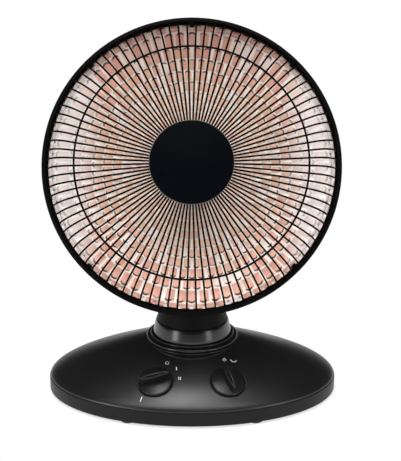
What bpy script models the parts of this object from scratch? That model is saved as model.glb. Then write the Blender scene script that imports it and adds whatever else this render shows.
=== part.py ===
"""Oscillating radiant dish heater: a round head behind a wire guard, on a low oval base.

Metres, +Z up, front towards -Y, origin on the floor under the swivel axis.
The head turns about the swivel axis and tilts on a bolt in the neck. A small gear motor
in the base swings it through a crank whose pin runs in the slot of the swivel arm.
"""

import math

import bmesh
import bpy
from mathutils import Matrix, Vector

# Clearances and cutting
seat_gap = 0.0003
play = 0.0003
overrun = 0.004
weld_distance = 0.00001

# Facets of a full turn
rim_steps = 48
wide_steps = 40
head_steps = 36
neck_steps = 28
middle_steps = 24
plain_steps = 16
small_steps = 10
sharp_angle = 38.0

# Base plan, band and dome
base_half_width = 0.180
base_half_depth = 0.1205
foot_rise = 0.003
band_height = 0.0177
dome_rise = 0.077
dome_power_share = 0.67
dome_round_share = 0.65
dome_inset_share = 1.35
cover_wall = 0.003
cover_outer_shares = (0.22, 0.44, 0.65, 0.82, 0.93, 0.983, 1.0)
cover_inner_shares = (1.0, 0.95, 0.75, 0.22)

# Tray
tray_wall = 0.0025
tray_floor = 0.0025
floor_recess = 0.002
band_proud = 0.0008
band_edge = 0.0012

# Feet
foot_radius = 0.009
foot_top_radius = 0.008
foot_across_share = 0.428
foot_deep_share = 0.81

# Screws that hold the tray to the bosses of the cover
screw_across_share = 0.61
screw_deep_share = 0.46
screw_radius = 0.002
screw_head_radius = 0.004
screw_head_height = 0.0021
screw_length = 0.019
boss_radius = 0.005

# Counterweight
weight_width = 0.150
weight_depth = 0.040
weight_height = 0.008
weight_deep_share = 0.40
weight_edge = 0.0015

# Collar round the neck opening
collar_width = 0.0058
collar_wall = 0.003
collar_height = 0.0182
collar_lap = 0.00306
upper_bead_radius = 0.0019
upper_bead_drop = 0.0016
lower_bead_radius = 0.0029
lower_bead_drop = 0.0066
bead_angle_steps = 2
upper_bead_angles = (80, -50)
lower_bead_angles = (60, -60)
web_height = 0.003

# Swivel bearing
bush_wall = 0.003
bush_flange_width = 0.006
bush_flange_height = 0.002
bush_depth = 0.007

# Neck turret and its spindle
neck_radius = 0.0440
neck_draft = 0.0015
neck_length = 0.0182
neck_crown = 0.0125
neck_crown_height = 0.0160
neck_wall = 0.003
skirt_flare = 0.0065
skirt_play = 0.0007
skirt_rise = 0.0012
skirt_height = 0.0144
spindle_radius = 0.0177
spindle_wall = 0.0052
spindle_shoulder = 0.0063

# Nut and slotted arm on the spindle
nut_width = 0.0063
nut_height = 0.006
spacer_height = 0.0021
arm_height = 0.003
arm_rise = 0.0020
arm_eye_width = 0.0073
arm_edge = 0.005
clip_ring_width = 0.004
clip_ring_height = 0.0012

# Crank and its gear motor
crank_distance = 0.036
crank_throw = 0.022
crank_swing = 105.0
pin_radius = 0.002
pin_height = 0.0117
slot_side_play = 0.0022
slot_end_play = 0.002
crank_height = 0.0035
crank_hub_radius = 0.006
crank_tip_radius = 0.0045
output_radius = 0.0029
output_height = 0.0085
crank_drop = 0.0056
motor_radius = 0.025
motor_room = 0.0036
motor_edge = 0.002
bracket_plate = 0.002
bracket_half_span = 0.036
bracket_depth = 0.030
bracket_foot = 0.009
bracket_hole = 0.006

# Knobs, their seats in the dome, and the rotary switches under them
knob_across = 0.044
knob_inset = 0.0345
knob_radius = 0.021
knob_flange = 0.0021
knob_crown = 0.0062
knob_seat_depth = 0.0012
knob_seat_play = 0.0009
knob_lift = 0.0005
knob_profile_shares = ((0.0, 1.0), (0.42, 0.95), (0.78, 0.78), (0.94, 0.55), (1.0, 0.32))
grip_length = 0.039
grip_wide_end = 0.0105
grip_narrow_end = 0.0040
grip_top_share = 0.55
grip_draft = 0.0020
grip_height = 0.0165
grip_edge = 0.0008
heat_grip_angle = 8.0
oscillation_grip_angle = -68.0
switch_shaft_radius = 0.003
shaft_in_knob = 0.0092
shaft_in_switch = 0.0110
switch_side = 0.026
switch_height = 0.016
switch_drop = 0.0075
switch_edge = 0.001
switch_neck_radius = 0.005
switch_neck_top = 0.0016

# Tip-over switch and its plunger
plunger_across = 0.060
plunger_back = 0.050
plunger_radius = 0.004
plunger_lift = 0.0002
plunger_travel = 0.006
plunger_flange_radius = 0.0055
plunger_flange_height = 0.0015
plunger_stem_radius = 0.002
plunger_stem_height = 0.009
tip_switch_width = 0.026
tip_switch_depth = 0.018
tip_switch_height = 0.024
tip_switch_edge = 0.001
tip_chamber_radius = 0.007

# Terminal block and cord inlet
block_width = 0.040
block_depth = 0.016
block_height = 0.014
block_edge = 0.0015
block_across = 0.075
block_back = 0.045
gland_across = 0.070
gland_flange_radius = 0.0064
gland_flange_height = 0.0015
gland_neck_radius = 0.0045
gland_bore = 0.0032
gland_depth = 0.010

# Head: place, tilt and rim
head_tilt = 24.1
head_forward = 0.020
head_above_pivot = 0.1395
rim_radius = 0.180
rim_wall = 0.0018
rim_depth = 0.016
rim_lip_width = 0.0055
rim_lip_half = 0.001
rim_edge = 0.0014

# Wire guard
wire_count = 96
wire_radius = 0.001
wire_hub_radius = 0.044
wire_hub_height = 0.0205
wire_crown_height = 0.0272
wire_shoulder_reach = 0.023
wire_shoulder_steps = 2
hub_ring_half = 0.003
hub_ring_height = 0.0030
guard_ring_under_lip = 0.0005
guard_ring_width = 0.0040
girdle_inset = 0.011
girdle_wire_radius = 0.0012
girdle_sides = 4

# Hub cap in front of the guard
cap_over_ring = 0.0035
cap_rise = 0.0040
cap_wall = 0.0015
cap_edge = 0.0012

# Guard clips
clip_width = 0.006
clip_length = 0.0070
clip_on_lip = 0.0018
clip_plate = 0.0013
clip_leg = 0.0014
clip_head_radius = 0.0026
clip_head_height = 0.0012
top_head_radius = 0.0036

# Reflector
reflector_inset = 0.0025
reflector_flange_step = 0.0008
reflector_front = -0.0086
reflector_depth = 0.051
reflector_hole = 0.021
reflector_wall = 0.0008
reflector_shares = (0.42, 0.72, 1.0)

# Rear shell
shell_in_rim = 0.0004
shell_flange_step = 0.0018
shell_flange_width = 0.005
shell_skirt_end = -0.0175
shell_behind = 0.0015
shell_wall = 0.002
shell_power = 2.0
shell_hole = 0.034
shell_outer_shares = (0.97, 0.87, 0.69, 0.42)
shell_inner_shares = (0.42, 0.69, 0.89)
vent_count = 12
vent_width = 0.006
vent_inner = 0.062
vent_outer = 0.120

# Rear housing over the terminals
housing_lap = 0.008
housing_taper = 0.008
housing_height = 0.018
housing_wall = 0.002

# Heating element
plate_radius = 0.034
plate_height = 0.0016
ceramic_foot_radius = 0.020
ceramic_foot_top = 0.017
ceramic_foot_height = 0.0125
core_radius = 0.0125
core_room = 0.0062
core_flange_radius = 0.0175
core_flange_height = 0.004
bolt_radius = 0.002
bolt_head_radius = 0.005
bolt_head_height = 0.0036
coil_wire_radius = 0.0020
coil_turns = 6
coil_points = 24
coil_end = 0.0061
coil_bend_radius = 0.003
coil_bend_steps = 2
terminal_radius = 0.002
terminal_across = 0.012
terminal_in_ceramic = 0.005
terminal_out = 0.012
cutout_radius = 0.008
cutout_height = 0.006
cutout_up = 0.020

# Tilt hinge
pivot_back = 0.012
pivot_rise = 0.032
yoke_plate = 0.003
yoke_half_gap = 0.0095
yoke_ear_radius = 0.011
yoke_foot_half = 0.0150
yoke_corner = 0.0020
tilt_bolt_radius = 0.004
tilt_head_radius = 0.0075
tilt_head_height = 0.004
tilt_nut_radius = 0.011
tilt_nut_height = 0.008
bracket_eye_radius = 0.0115
bracket_eye_angles = (130, 320)
bracket_top_share = 0.38
bracket_bottom_share = 0.76
bracket_into_shell = 0.012
arc_steps = 6

millimetre = 0.001


def dome_height(share, inset=0):
    """Height of the dome at a share of its plan radius, or of a skin that lies inset under it."""
    rise = dome_rise - inset * dome_inset_share
    return cover_bottom + rise * (1 - share ** dome_power_share) ** dome_round_share


# Base and neck sizes that follow
crease_height = foot_rise + band_height
floor_bottom = foot_rise + floor_recess
floor_top = floor_bottom + tray_floor
cover_bottom = crease_height + seat_gap
plan_depth_share = base_half_depth / base_half_width
knob_forward = base_half_depth - knob_inset
skirt_radius = neck_radius + skirt_flare
neck_upper_radius = neck_radius - neck_draft
neck_top_radius = neck_upper_radius - neck_crown
collar_mouth = skirt_radius + skirt_play
collar_radius = collar_mouth + collar_width
collar_bottom = dome_height(collar_radius / base_half_depth) - collar_lap
collar_top = collar_bottom + collar_height
web_top = collar_bottom + web_height
bearing_top = web_top + seat_gap + bush_flange_height
shoulder_bottom = bearing_top + seat_gap
bush_radius = spindle_radius + play + bush_wall
spindle_bore = spindle_radius - spindle_wall
nut_top = collar_bottom - bush_depth + web_height - seat_gap
nut_bottom = nut_top - nut_height
arm_top = nut_bottom - seat_gap - spacer_height - seat_gap
arm_bottom = arm_top - arm_height
spindle_bottom = arm_bottom - arm_rise
crank_top = spindle_bottom - crank_drop + seat_gap
bracket_top = crank_top - crank_height - play
motor_top = bracket_top - bracket_plate - seat_gap
motor_bottom = floor_top + motor_room
skirt_bottom = collar_top + skirt_rise
skirt_top = skirt_bottom + skirt_height
neck_shoulder = skirt_top + neck_length
neck_top = neck_shoulder + neck_crown_height
pivot_height = neck_top + pivot_rise
head_centre_height = pivot_height + head_above_pivot

# Head sizes that follow
rim_lip_inner = rim_radius - rim_lip_width
guard_ring_outer = rim_lip_inner + guard_ring_under_lip
guard_ring_inner = guard_ring_outer - guard_ring_width
wire_end_radius = (guard_ring_inner + guard_ring_outer) / 2
wire_shoulder_radius = wire_end_radius - wire_shoulder_reach
girdle_radius = wire_shoulder_radius - girdle_inset
cap_radius = wire_hub_radius + hub_ring_half + cap_over_ring
cap_face_height = wire_hub_height + cap_rise
clip_outer = rim_lip_inner + clip_on_lip
clip_inner = clip_outer - clip_length
shell_flange_radius = rim_radius - rim_wall - shell_in_rim
shell_radius = shell_flange_radius - shell_flange_step
shell_flange_inner = shell_radius - shell_flange_width
shell_depth = reflector_depth + shell_behind
reflector_flange_radius = shell_flange_radius - reflector_flange_step
reflector_radius = shell_flange_inner - reflector_inset
reflector_back = reflector_front - reflector_wall
shell_front = reflector_back - seat_gap
housing_radius = shell_hole + housing_lap
housing_crown_radius = housing_radius - housing_taper
coil_radius = core_radius + play + coil_wire_radius

parts = bpy.data.collections.new("oscillating_dish_heater")
helpers = bpy.data.collections.new("cutters")

finishes = {
    "satin_black": ((0.012, 0.012, 0.013), 0.38, 0.0),
    "black_enamel": ((0.010, 0.010, 0.010), 0.45, 0.0),
    "rubber": ((0.02, 0.02, 0.02), 0.85, 0.0),
    "grey_plastic": ((0.35, 0.35, 0.34), 0.6, 0.0),
    "white_plastic": ((0.75, 0.74, 0.70), 0.5, 0.0),
    "zinc_steel": ((0.55, 0.56, 0.57), 0.35, 1.0),
    "cast_iron": ((0.08, 0.08, 0.085), 0.7, 0.6),
    "warm_reflector": ((0.90, 0.62, 0.50), 0.22, 1.0),
    "ceramic": ((0.82, 0.79, 0.72), 0.6, 0.0),
    "element_wire": ((0.60, 0.25, 0.12), 0.45, 0.8),
    "brass": ((0.75, 0.58, 0.25), 0.35, 1.0),
}


def clear_scene():
    for obj in list(bpy.data.objects):
        bpy.data.objects.remove(obj, do_unlink=True)
    bpy.context.scene.collection.children.link(parts)
    bpy.context.scene.collection.children.link(helpers)


def paint(obj, finish):
    colour, roughness, metallic = finishes[finish]
    material = bpy.data.materials.new(obj.name + "_" + finish)
    material.use_nodes = True
    shader = material.node_tree.nodes["Principled BSDF"]
    shader.inputs["Base Color"].default_value = (*colour, 1.0)
    shader.inputs["Roughness"].default_value = roughness
    shader.inputs["Metallic"].default_value = metallic
    obj.data.materials.append(material)


def add(name, mesh, parent, frame=None, finish=None):
    """A named part, or a helper that only cuts or joins when it has no finish."""
    obj = bpy.data.objects.new(name, mesh)
    obj.parent = parent
    obj.matrix_basis = frame or Matrix.Identity(4)
    if finish:
        parts.objects.link(obj)
        paint(obj, finish)
    else:
        helpers.objects.link(obj)
        obj.hide_render = True
        obj.display_type = "WIRE"
    return obj


def empty(name, parent=None, frame=None):
    obj = bpy.data.objects.new(name, None)
    obj.parent = parent
    obj.matrix_basis = frame or Matrix.Identity(4)
    parts.objects.link(obj)
    return obj


def turned(name, profile, steps, parent=None, frame=None, finish=None):
    """A profile of (radius, height) points, turned about Z. Off the axis it closes on itself."""
    edges = [(i, i + 1) for i in range(len(profile) - 1)]
    if profile[0][0] > 0:
        edges.append((len(profile) - 1, 0))
    mesh = bpy.data.meshes.new(name)
    mesh.from_pydata([(radius, 0, height) for radius, height in profile], edges, [])
    obj = add(name, mesh, parent, frame, finish)
    screw = obj.modifiers.new("turn", "SCREW")
    screw.axis = "Z"
    screw.steps = screw.render_steps = steps
    screw.use_merge_vertices = True
    screw.merge_threshold = weld_distance
    screw.use_smooth_shade = True
    return obj


def rod(radius, bottom, top, edge=0):
    if not edge:
        return [(0, top), (radius, top), (radius, bottom), (0, bottom)]
    return [(0, top), (radius - edge, top), (radius, top - edge), (radius, bottom), (0, bottom)]


def ring(inner, outer, bottom, top):
    return [(inner, top), (outer, top), (outer, bottom), (inner, bottom)]


def box(name, size, centre, parent=None, frame=None, finish=None, edge=0):
    mesh = bpy.data.meshes.new(name)
    shape = bmesh.new()
    place = Matrix.Translation(centre) @ Matrix.Diagonal((*size, 1))
    bmesh.ops.create_cube(shape, size=1, matrix=place)
    shape.to_mesh(mesh)
    shape.free()
    obj = add(name, mesh, parent, frame, finish)
    if edge:
        bevel = obj.modifiers.new("edges", "BEVEL")
        bevel.width = edge
        bevel.segments = 1
    return obj


def mesh_of_curve(curve):
    """The curve's solid as a mesh with its caps welded on."""
    source = bpy.data.objects.new(curve.name, curve)
    helpers.objects.link(source)
    bpy.context.view_layer.update()
    graph = bpy.context.evaluated_depsgraph_get()
    mesh = bpy.data.meshes.new_from_object(source.evaluated_get(graph))
    bpy.data.objects.remove(source)
    shape = bmesh.new()
    shape.from_mesh(mesh)
    bmesh.ops.remove_doubles(shape, verts=shape.verts, dist=weld_distance)
    shape.to_mesh(mesh)
    shape.free()
    return mesh


def lines_on(curve, lines, cyclic):
    for line in lines:
        spline = curve.splines.new("POLY")
        spline.points.add(len(line) - 1)
        for point, place in zip(spline.points, line):
            point.co = (*place, 1)
        spline.use_cyclic_u = cyclic


def plate(name, outlines, thickness):
    """A flat outline, and any holes in it, as a solid centred on its own plane."""
    curve = bpy.data.curves.new(name, "CURVE")
    curve.dimensions = "2D"
    curve.fill_mode = "BOTH"
    curve.extrude = thickness / 2
    lines_on(curve, [[(x, y, 0) for x, y in outline] for outline in outlines], True)
    return mesh_of_curve(curve)


def wires(name, lines, radius, resolution, closed=False):
    curve = bpy.data.curves.new(name, "CURVE")
    curve.dimensions = "3D"
    curve.bevel_depth = radius
    curve.bevel_resolution = resolution
    curve.use_fill_caps = True
    curve.twist_mode = "Z_UP"
    lines_on(curve, lines, closed)
    return mesh_of_curve(curve)


def arc(centre, radius, start, end, steps):
    """Points on an arc, its angles in degrees."""
    angles = [math.radians(start + (end - start) * i / steps) for i in range(steps + 1)]
    return [(centre[0] + radius * math.cos(a), centre[1] + radius * math.sin(a)) for a in angles]


def combine(obj, other, operation):
    boolean = obj.modifiers.new(operation.lower() + "_" + other.name, "BOOLEAN")
    boolean.operation = operation
    boolean.solver = "EXACT"
    boolean.object = other


def cut(obj, *cutters):
    for cutter in cutters:
        combine(obj, cutter, "DIFFERENCE")


def join(obj, *others):
    for other in others:
        combine(obj, other, "UNION")


def at(x, y, z=0):
    return Matrix.Translation((x, y, z))


def turn(degrees, axis):
    return Matrix.Rotation(math.radians(degrees), 4, axis)


def corners(across, deep):
    return [(across * sx, deep * sy) for sy in (-1, 1) for sx in (-1, 1)]


corner_names = ("front_left", "front_right", "rear_left", "rear_right")


# The dome's shape

def dome_line(shares, inset=0):
    return [(share * (base_half_width - inset), dome_height(share, inset)) for share in shares]


def dome_seat(x, y):
    """A frame on the dome with Z out of its surface and Y up its slope."""
    share = math.hypot(x / base_half_width, y / base_half_depth)
    power = share ** dome_power_share
    slope = dome_rise * dome_round_share * dome_power_share
    slope *= (1 - power) ** (dome_round_share - 1) * power / share ** 2
    normal = Vector((slope * x / base_half_width**2, slope * y / base_half_depth**2, 1)).normalized()
    across = Vector((0, 1, 0)).cross(normal).normalized()
    up = normal.cross(across)
    axes = Matrix((across, up, normal)).transposed().to_4x4()
    return at(x, y, dome_height(share)) @ axes


# Base

def base_cover():
    oval = Matrix.Diagonal((1, plan_depth_share, 1, 1))
    profile = dome_line(cover_outer_shares) + dome_line(cover_inner_shares, cover_wall)
    cover = turned("base_cover", profile, wide_steps, frame=oval, finish="satin_black")
    middle = dome_line(cover_inner_shares[::-1], cover_wall / 2)
    limit_profile = [(0, middle[0][1])] + middle + [(0, middle[-1][1] - band_height)]
    limit_profile.insert(-1, (middle[-1][0], middle[-1][1] - band_height))
    limit = turned("boss_limit", limit_profile, wide_steps, frame=oval)
    boss_bottom = floor_top + seat_gap
    screw_top = floor_bottom - seat_gap + screw_length
    places = corners(base_half_width * screw_across_share, base_half_depth * screw_deep_share)
    for name, (x, y) in zip(corner_names, places):
        pillar = rod(boss_radius, boss_bottom, dome_height(0))
        boss = turned("boss_" + name, pillar, small_steps, frame=at(x, y))
        combine(boss, limit, "INTERSECT")
        join(cover, boss)
    for name, (x, y) in zip(corner_names, places):
        bore = rod(screw_radius + play, boss_bottom - overrun, screw_top + play)
        cut(cover, turned("boss_bore_" + name, bore, small_steps, frame=at(x, y)))
    opening = rod(collar_radius + play, collar_bottom - overrun - cover_wall, dome_height(0))
    cut(cover, turned("collar_opening", opening, wide_steps))
    for side, x in (("left", -knob_across), ("right", knob_across)):
        seat = dome_seat(x, -knob_forward)
        face = rod(knob_radius + knob_seat_play, -knob_seat_depth, overrun)
        hole = rod(switch_neck_radius + play, -cover_wall - overrun, overrun)
        cut(cover, turned("knob_face_" + side, face, middle_steps, frame=seat))
        cut(cover, turned("switch_hole_" + side, hole, small_steps, frame=seat))
    return cover


def gland_frame():
    """On the outside of the band at the back, Z along its normal."""
    x = -gland_across
    half_width = base_half_width + band_proud
    y = half_width * plan_depth_share * math.sqrt(1 - (x / half_width) ** 2)
    outward = math.degrees(math.atan2(x / base_half_width**2, y / base_half_depth**2))
    height = floor_top + gland_neck_radius + play + seat_gap
    return at(x, y, height) @ turn(-outward, "Z") @ turn(-90, "X")


def base_tray():
    band = base_half_width + band_proud
    wall = band - tray_wall
    profile = [
        (0, floor_top),
        (wall, floor_top),
        (wall, crease_height),
        (band - band_edge, crease_height),
        (band, crease_height - band_edge),
        (band, foot_rise),
        (wall, foot_rise),
        (wall, floor_bottom),
        (0, floor_bottom),
    ]
    oval = Matrix.Diagonal((1, plan_depth_share, 1, 1))
    tray = turned("base_tray", profile, wide_steps, frame=oval, finish="satin_black")
    places = corners(base_half_width * screw_across_share, base_half_depth * screw_deep_share)
    for name, (x, y) in zip(corner_names, places):
        hole = rod(screw_radius + play, floor_bottom - overrun, floor_top + overrun)
        cut(tray, turned("tray_hole_" + name, hole, small_steps, frame=at(x, y)))
    hole = rod(plunger_radius + play, floor_bottom - overrun, floor_top + overrun)
    cut(tray, turned("plunger_hole", hole, small_steps, frame=at(plunger_across, plunger_back)))
    hole = rod(gland_neck_radius + play, -gland_depth, overrun)
    cut(tray, turned("gland_hole", hole, small_steps, frame=gland_frame()))
    return tray


def base_fittings():
    places = corners(base_half_width * foot_across_share, base_half_depth * foot_deep_share)
    for name, (x, y) in zip(corner_names, places):
        top = floor_bottom - seat_gap
        profile = [(0, top), (foot_top_radius, top), (foot_radius, top / 2), (foot_radius, 0), (0, 0)]
        turned("foot_" + name, profile, small_steps, frame=at(x, y), finish="rubber")
    places = corners(base_half_width * screw_across_share, base_half_depth * screw_deep_share)
    head_top = floor_bottom - seat_gap
    head_bottom = head_top - screw_head_height
    tip = head_top + screw_length
    screw = [
        (0, tip),
        (screw_radius, tip),
        (screw_radius, head_top),
        (screw_head_radius, head_top),
        (screw_head_radius, head_bottom),
        (0, head_bottom),
    ]
    for name, (x, y) in zip(corner_names, places):
        turned("base_screw_" + name, screw, small_steps, frame=at(x, y), finish="zinc_steel")
    size = (weight_width, weight_depth, weight_height)
    centre = (0, -base_half_depth * weight_deep_share, floor_top + seat_gap + weight_height / 2)
    box("counterweight", size, centre, finish="cast_iron", edge=weight_edge)
    size = (block_width, block_depth, block_height)
    centre = (-block_across, block_back, floor_top + seat_gap + block_height / 2)
    box("terminal_block", size, centre, finish="white_plastic", edge=block_edge)
    gland = [
        (gland_bore, gland_flange_height + seat_gap),
        (gland_flange_radius, gland_flange_height + seat_gap),
        (gland_flange_radius, seat_gap),
        (gland_neck_radius, seat_gap),
        (gland_neck_radius, seat_gap - gland_depth),
        (gland_bore, seat_gap - gland_depth),
    ]
    turned("cord_gland", gland, small_steps, frame=gland_frame(), finish="rubber")


def neck_collar():
    upper = (collar_mouth + upper_bead_radius, collar_top - upper_bead_drop)
    lower = (collar_radius - lower_bead_radius, collar_top - lower_bead_drop)
    profile = [(collar_mouth, collar_top)]
    profile += arc(upper, upper_bead_radius, *upper_bead_angles, bead_angle_steps)
    profile += arc(lower, lower_bead_radius, *lower_bead_angles, bead_angle_steps)
    bead_foot = profile[-1][1]
    web_bore = bush_radius + play
    profile += [
        (collar_radius, bead_foot - collar_wall / 2),
        (collar_radius, collar_bottom),
        (web_bore, collar_bottom),
        (web_bore, web_top),
        (collar_radius - collar_wall, web_top),
        (collar_radius - collar_wall, collar_top - lower_bead_drop),
        (collar_mouth, collar_top - upper_bead_drop - upper_bead_radius),
    ]
    turned("neck_collar", profile, neck_steps, finish="satin_black")


def swivel_bearing():
    bore = spindle_radius + play
    top = bearing_top
    under = web_top + seat_gap
    profile = [
        (bore, top),
        (bush_radius + bush_flange_width, top),
        (bush_radius + bush_flange_width, under),
        (bush_radius, under),
        (bush_radius, under - bush_depth),
        (bore, under - bush_depth),
    ]
    turned("swivel_bearing", profile, middle_steps, finish="white_plastic")


def tip_over_switch():
    frame = at(plunger_across, plunger_back, floor_top + seat_gap)
    centre = (0, 0, tip_switch_height / 2)
    size = (tip_switch_width, tip_switch_depth, tip_switch_height)
    body = box("tip_over_switch", size, centre, frame=frame, finish="grey_plastic", edge=tip_switch_edge)
    chamber_top = plunger_travel + plunger_flange_height + play + play
    stem_top = chamber_top + plunger_stem_height
    cut(body, turned("tip_chamber", rod(tip_chamber_radius, -overrun, chamber_top), small_steps, frame=frame))
    cut(body, turned("tip_bore", rod(plunger_stem_radius + play, 0, stem_top), small_steps, frame=frame))
    size = (tip_switch_width, tip_chamber_radius, plunger_travel)
    centre = (tip_switch_width / 2, 0, plunger_travel / 2 + play)
    cut(body, box("tip_window", size, centre, frame=frame))


def tip_over_plunger():
    axis = empty("plunger_axis", frame=at(plunger_across, plunger_back, plunger_lift))
    flange_bottom = floor_top + seat_gap + plunger_travel - plunger_lift
    flange_top = flange_bottom + plunger_flange_height
    profile = [
        (0, flange_top + plunger_stem_height),
        (plunger_stem_radius, flange_top + plunger_stem_height),
        (plunger_stem_radius, flange_top),
        (plunger_flange_radius, flange_top),
        (plunger_flange_radius, flange_bottom),
        (plunger_radius, flange_bottom),
        (plunger_radius, 0),
        (0, 0),
    ]
    turned("tip_over_plunger", profile, small_steps, parent=axis, finish="white_plastic")


def oscillation_motor():
    frame = at(0, crank_distance)
    profile = [
        (0, motor_top),
        (motor_radius - motor_edge, motor_top),
        (motor_radius, motor_top - motor_edge),
        (motor_radius, motor_bottom + motor_edge),
        (motor_radius - motor_edge, motor_bottom),
        (0, motor_bottom),
    ]
    turned("oscillation_motor", profile, plain_steps, frame=frame, finish="zinc_steel")
    half = bracket_half_span
    foot = floor_top + seat_gap
    top = bracket_top
    outline = [
        (-half - bracket_foot, foot),
        (-half + bracket_plate, foot),
        (-half + bracket_plate, top - bracket_plate),
        (half - bracket_plate, top - bracket_plate),
        (half - bracket_plate, foot),
        (half + bracket_foot, foot),
        (half + bracket_foot, foot + bracket_plate),
        (half, foot + bracket_plate),
        (half, top),
        (-half, top),
        (-half, foot + bracket_plate),
        (-half - bracket_foot, foot + bracket_plate),
    ]
    upright = frame @ turn(90, "X")
    mesh = plate("motor_bracket", [outline], bracket_depth)
    bracket = add("motor_bracket", mesh, None, upright, "zinc_steel")
    hole = rod(bracket_hole, bracket_top - bracket_plate - overrun, bracket_top + overrun)
    cut(bracket, turned("bracket_hole", hole, small_steps, frame=frame))


def crank():
    axis = empty("crank_axis", frame=at(0, crank_distance))
    bottom = motor_top + seat_gap
    shaft = rod(output_radius, bottom, bottom + output_height)
    turned("motor_output_shaft", shaft, small_steps, parent=axis, finish="zinc_steel")
    hub = arc((0, 0), crank_hub_radius, 180, 360, arc_steps)
    tip = arc((0, crank_throw), crank_tip_radius, 0, 180, arc_steps)
    eye = arc((0, 0), output_radius + play, 0, 360, small_steps)[:-1]
    middle = at(0, 0, crank_top - crank_height / 2)
    arm = add("crank_arm", plate("crank_arm", [hub + tip, eye], crank_height), axis, middle, "white_plastic")
    pin_bottom = crank_top - crank_height / 2
    pin = rod(pin_radius, pin_bottom, crank_top + pin_height, play)
    join(arm, turned("crank_pin", pin, small_steps, axis, at(0, crank_throw)))


def rotary_switch(name, side, grip_angle):
    """The knob and shaft that turn, and the switch body that hangs from the dome under them."""
    seat = dome_seat(side * knob_across, -knob_forward)
    axis = empty(name + "_knob_axis", frame=seat)
    knob_bottom = -knob_seat_depth + knob_lift
    profile = [(r * knob_radius, knob_bottom + h * knob_crown) for r, h in knob_profile_shares]
    profile += [(knob_radius, knob_bottom), (0, knob_bottom)]
    knob = turned(name + "_knob", profile, middle_steps, parent=axis, finish="satin_black")
    grip = grip_body(name + "_grip", axis, turn(grip_angle, "Z") @ at(0, 0, knob_bottom + knob_flange))
    join(knob, grip)
    shaft_top = knob_bottom + shaft_in_knob
    bore = rod(switch_shaft_radius + play, knob_bottom - overrun, shaft_top + play)
    cut(knob, turned(name + "_knob_bore", bore, small_steps, parent=axis))
    neck_top = -knob_seat_depth - switch_neck_top + knob_lift
    shaft_bottom = neck_top - shaft_in_switch
    shaft = rod(switch_shaft_radius, shaft_bottom, shaft_top)
    turned(name + "_switch_shaft", shaft, small_steps, parent=axis, finish="zinc_steel")
    size = (switch_side, switch_side, switch_height)
    centre = (0, 0, -switch_drop - switch_height / 2)
    body = box(name + "_switch", size, centre, None, seat, "grey_plastic", switch_edge)
    neck = rod(switch_neck_radius, -switch_drop - switch_height / 2, neck_top)
    join(body, turned(name + "_switch_neck", neck, small_steps, frame=seat))
    bore = rod(switch_shaft_radius + play, shaft_bottom - play, overrun)
    cut(body, turned(name + "_switch_bore", bore, small_steps, frame=seat))


def grip_body(name, parent, frame):
    """A finger bar that narrows towards +X and towards its top."""
    shape = bmesh.new()
    bmesh.ops.create_cube(shape, size=1)
    for vert in shape.verts:
        half_width = (grip_narrow_end if vert.co.x > 0 else grip_wide_end) / 2
        half_length = grip_length / 2
        if vert.co.z > 0:
            half_width *= grip_top_share
            half_length -= grip_draft
        height = grip_height - knob_flange if vert.co.z > 0 else 0
        x = math.copysign(half_length, vert.co.x)
        y = math.copysign(half_width, vert.co.y)
        vert.co = (x, y, height)
    mesh = bpy.data.meshes.new(name)
    shape.to_mesh(mesh)
    shape.free()
    obj = add(name, mesh, parent, frame)
    bevel = obj.modifiers.new("edges", "BEVEL")
    bevel.width = grip_edge
    bevel.segments = 2
    return obj


# Swivelling neck

def neck_turret(parent):
    inner = neck_upper_radius - neck_wall
    under_top = neck_shoulder - neck_wall
    profile = [
        (spindle_bore, neck_top),
        (neck_top_radius, neck_top),
        (neck_upper_radius, neck_shoulder),
        (neck_radius, skirt_top + neck_wall),
        (neck_radius, skirt_top),
        (skirt_radius, skirt_bottom),
        (skirt_radius - neck_wall, skirt_bottom),
        (inner, skirt_top),
        (inner, under_top),
        (spindle_radius + spindle_shoulder, under_top),
        (spindle_radius + spindle_shoulder, shoulder_bottom),
        (spindle_radius, shoulder_bottom),
        (spindle_radius, spindle_bottom),
        (spindle_bore, spindle_bottom),
    ]
    turned("neck_turret", profile, neck_steps, parent=parent, finish="satin_black")


def swivel_arm(parent):
    swing = math.radians(crank_swing)
    far = crank_distance + crank_throw + pin_radius + slot_end_play
    near_pin = math.hypot(crank_distance + crank_throw * math.cos(swing), crank_throw * math.sin(swing))
    near = near_pin - pin_radius - slot_end_play
    half = pin_radius + slot_side_play
    outer = half + arm_edge
    eye = spindle_radius + play
    eye_outer = spindle_radius + arm_eye_width
    slot = arc((0, near + half), half, 180, 360, arc_steps)
    slot += arc((0, far - half), half, 0, 180, arc_steps)
    join_angle = math.degrees(math.acos(outer / eye_outer))
    outline = arc((0, 0), eye_outer, 180 - join_angle, 360 + join_angle, wide_steps // 2)
    outline += arc((0, far - half), outer, 0, 180, arc_steps)
    bore = arc((0, 0), eye, 0, 360, neck_steps)[:-1]
    mesh = plate("swivel_arm", [outline, slot, bore], arm_height)
    add("swivel_arm", mesh, parent, at(0, 0, arm_top - arm_height / 2), "zinc_steel")
    nut = ring(eye, spindle_radius + nut_width, nut_bottom, nut_top)
    turned("spindle_nut", nut, neck_steps, parent=parent, finish="brass")
    spacer = ring(eye, eye + bush_wall, arm_top + seat_gap, nut_bottom - seat_gap)
    turned("arm_spacer", spacer, neck_steps, parent=parent, finish="zinc_steel")
    clip_top = arm_bottom - seat_gap
    clip = ring(eye, spindle_radius + clip_ring_width, clip_top - clip_ring_height, clip_top)
    turned("spindle_clip", clip, neck_steps, parent=parent, finish="zinc_steel")


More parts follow.
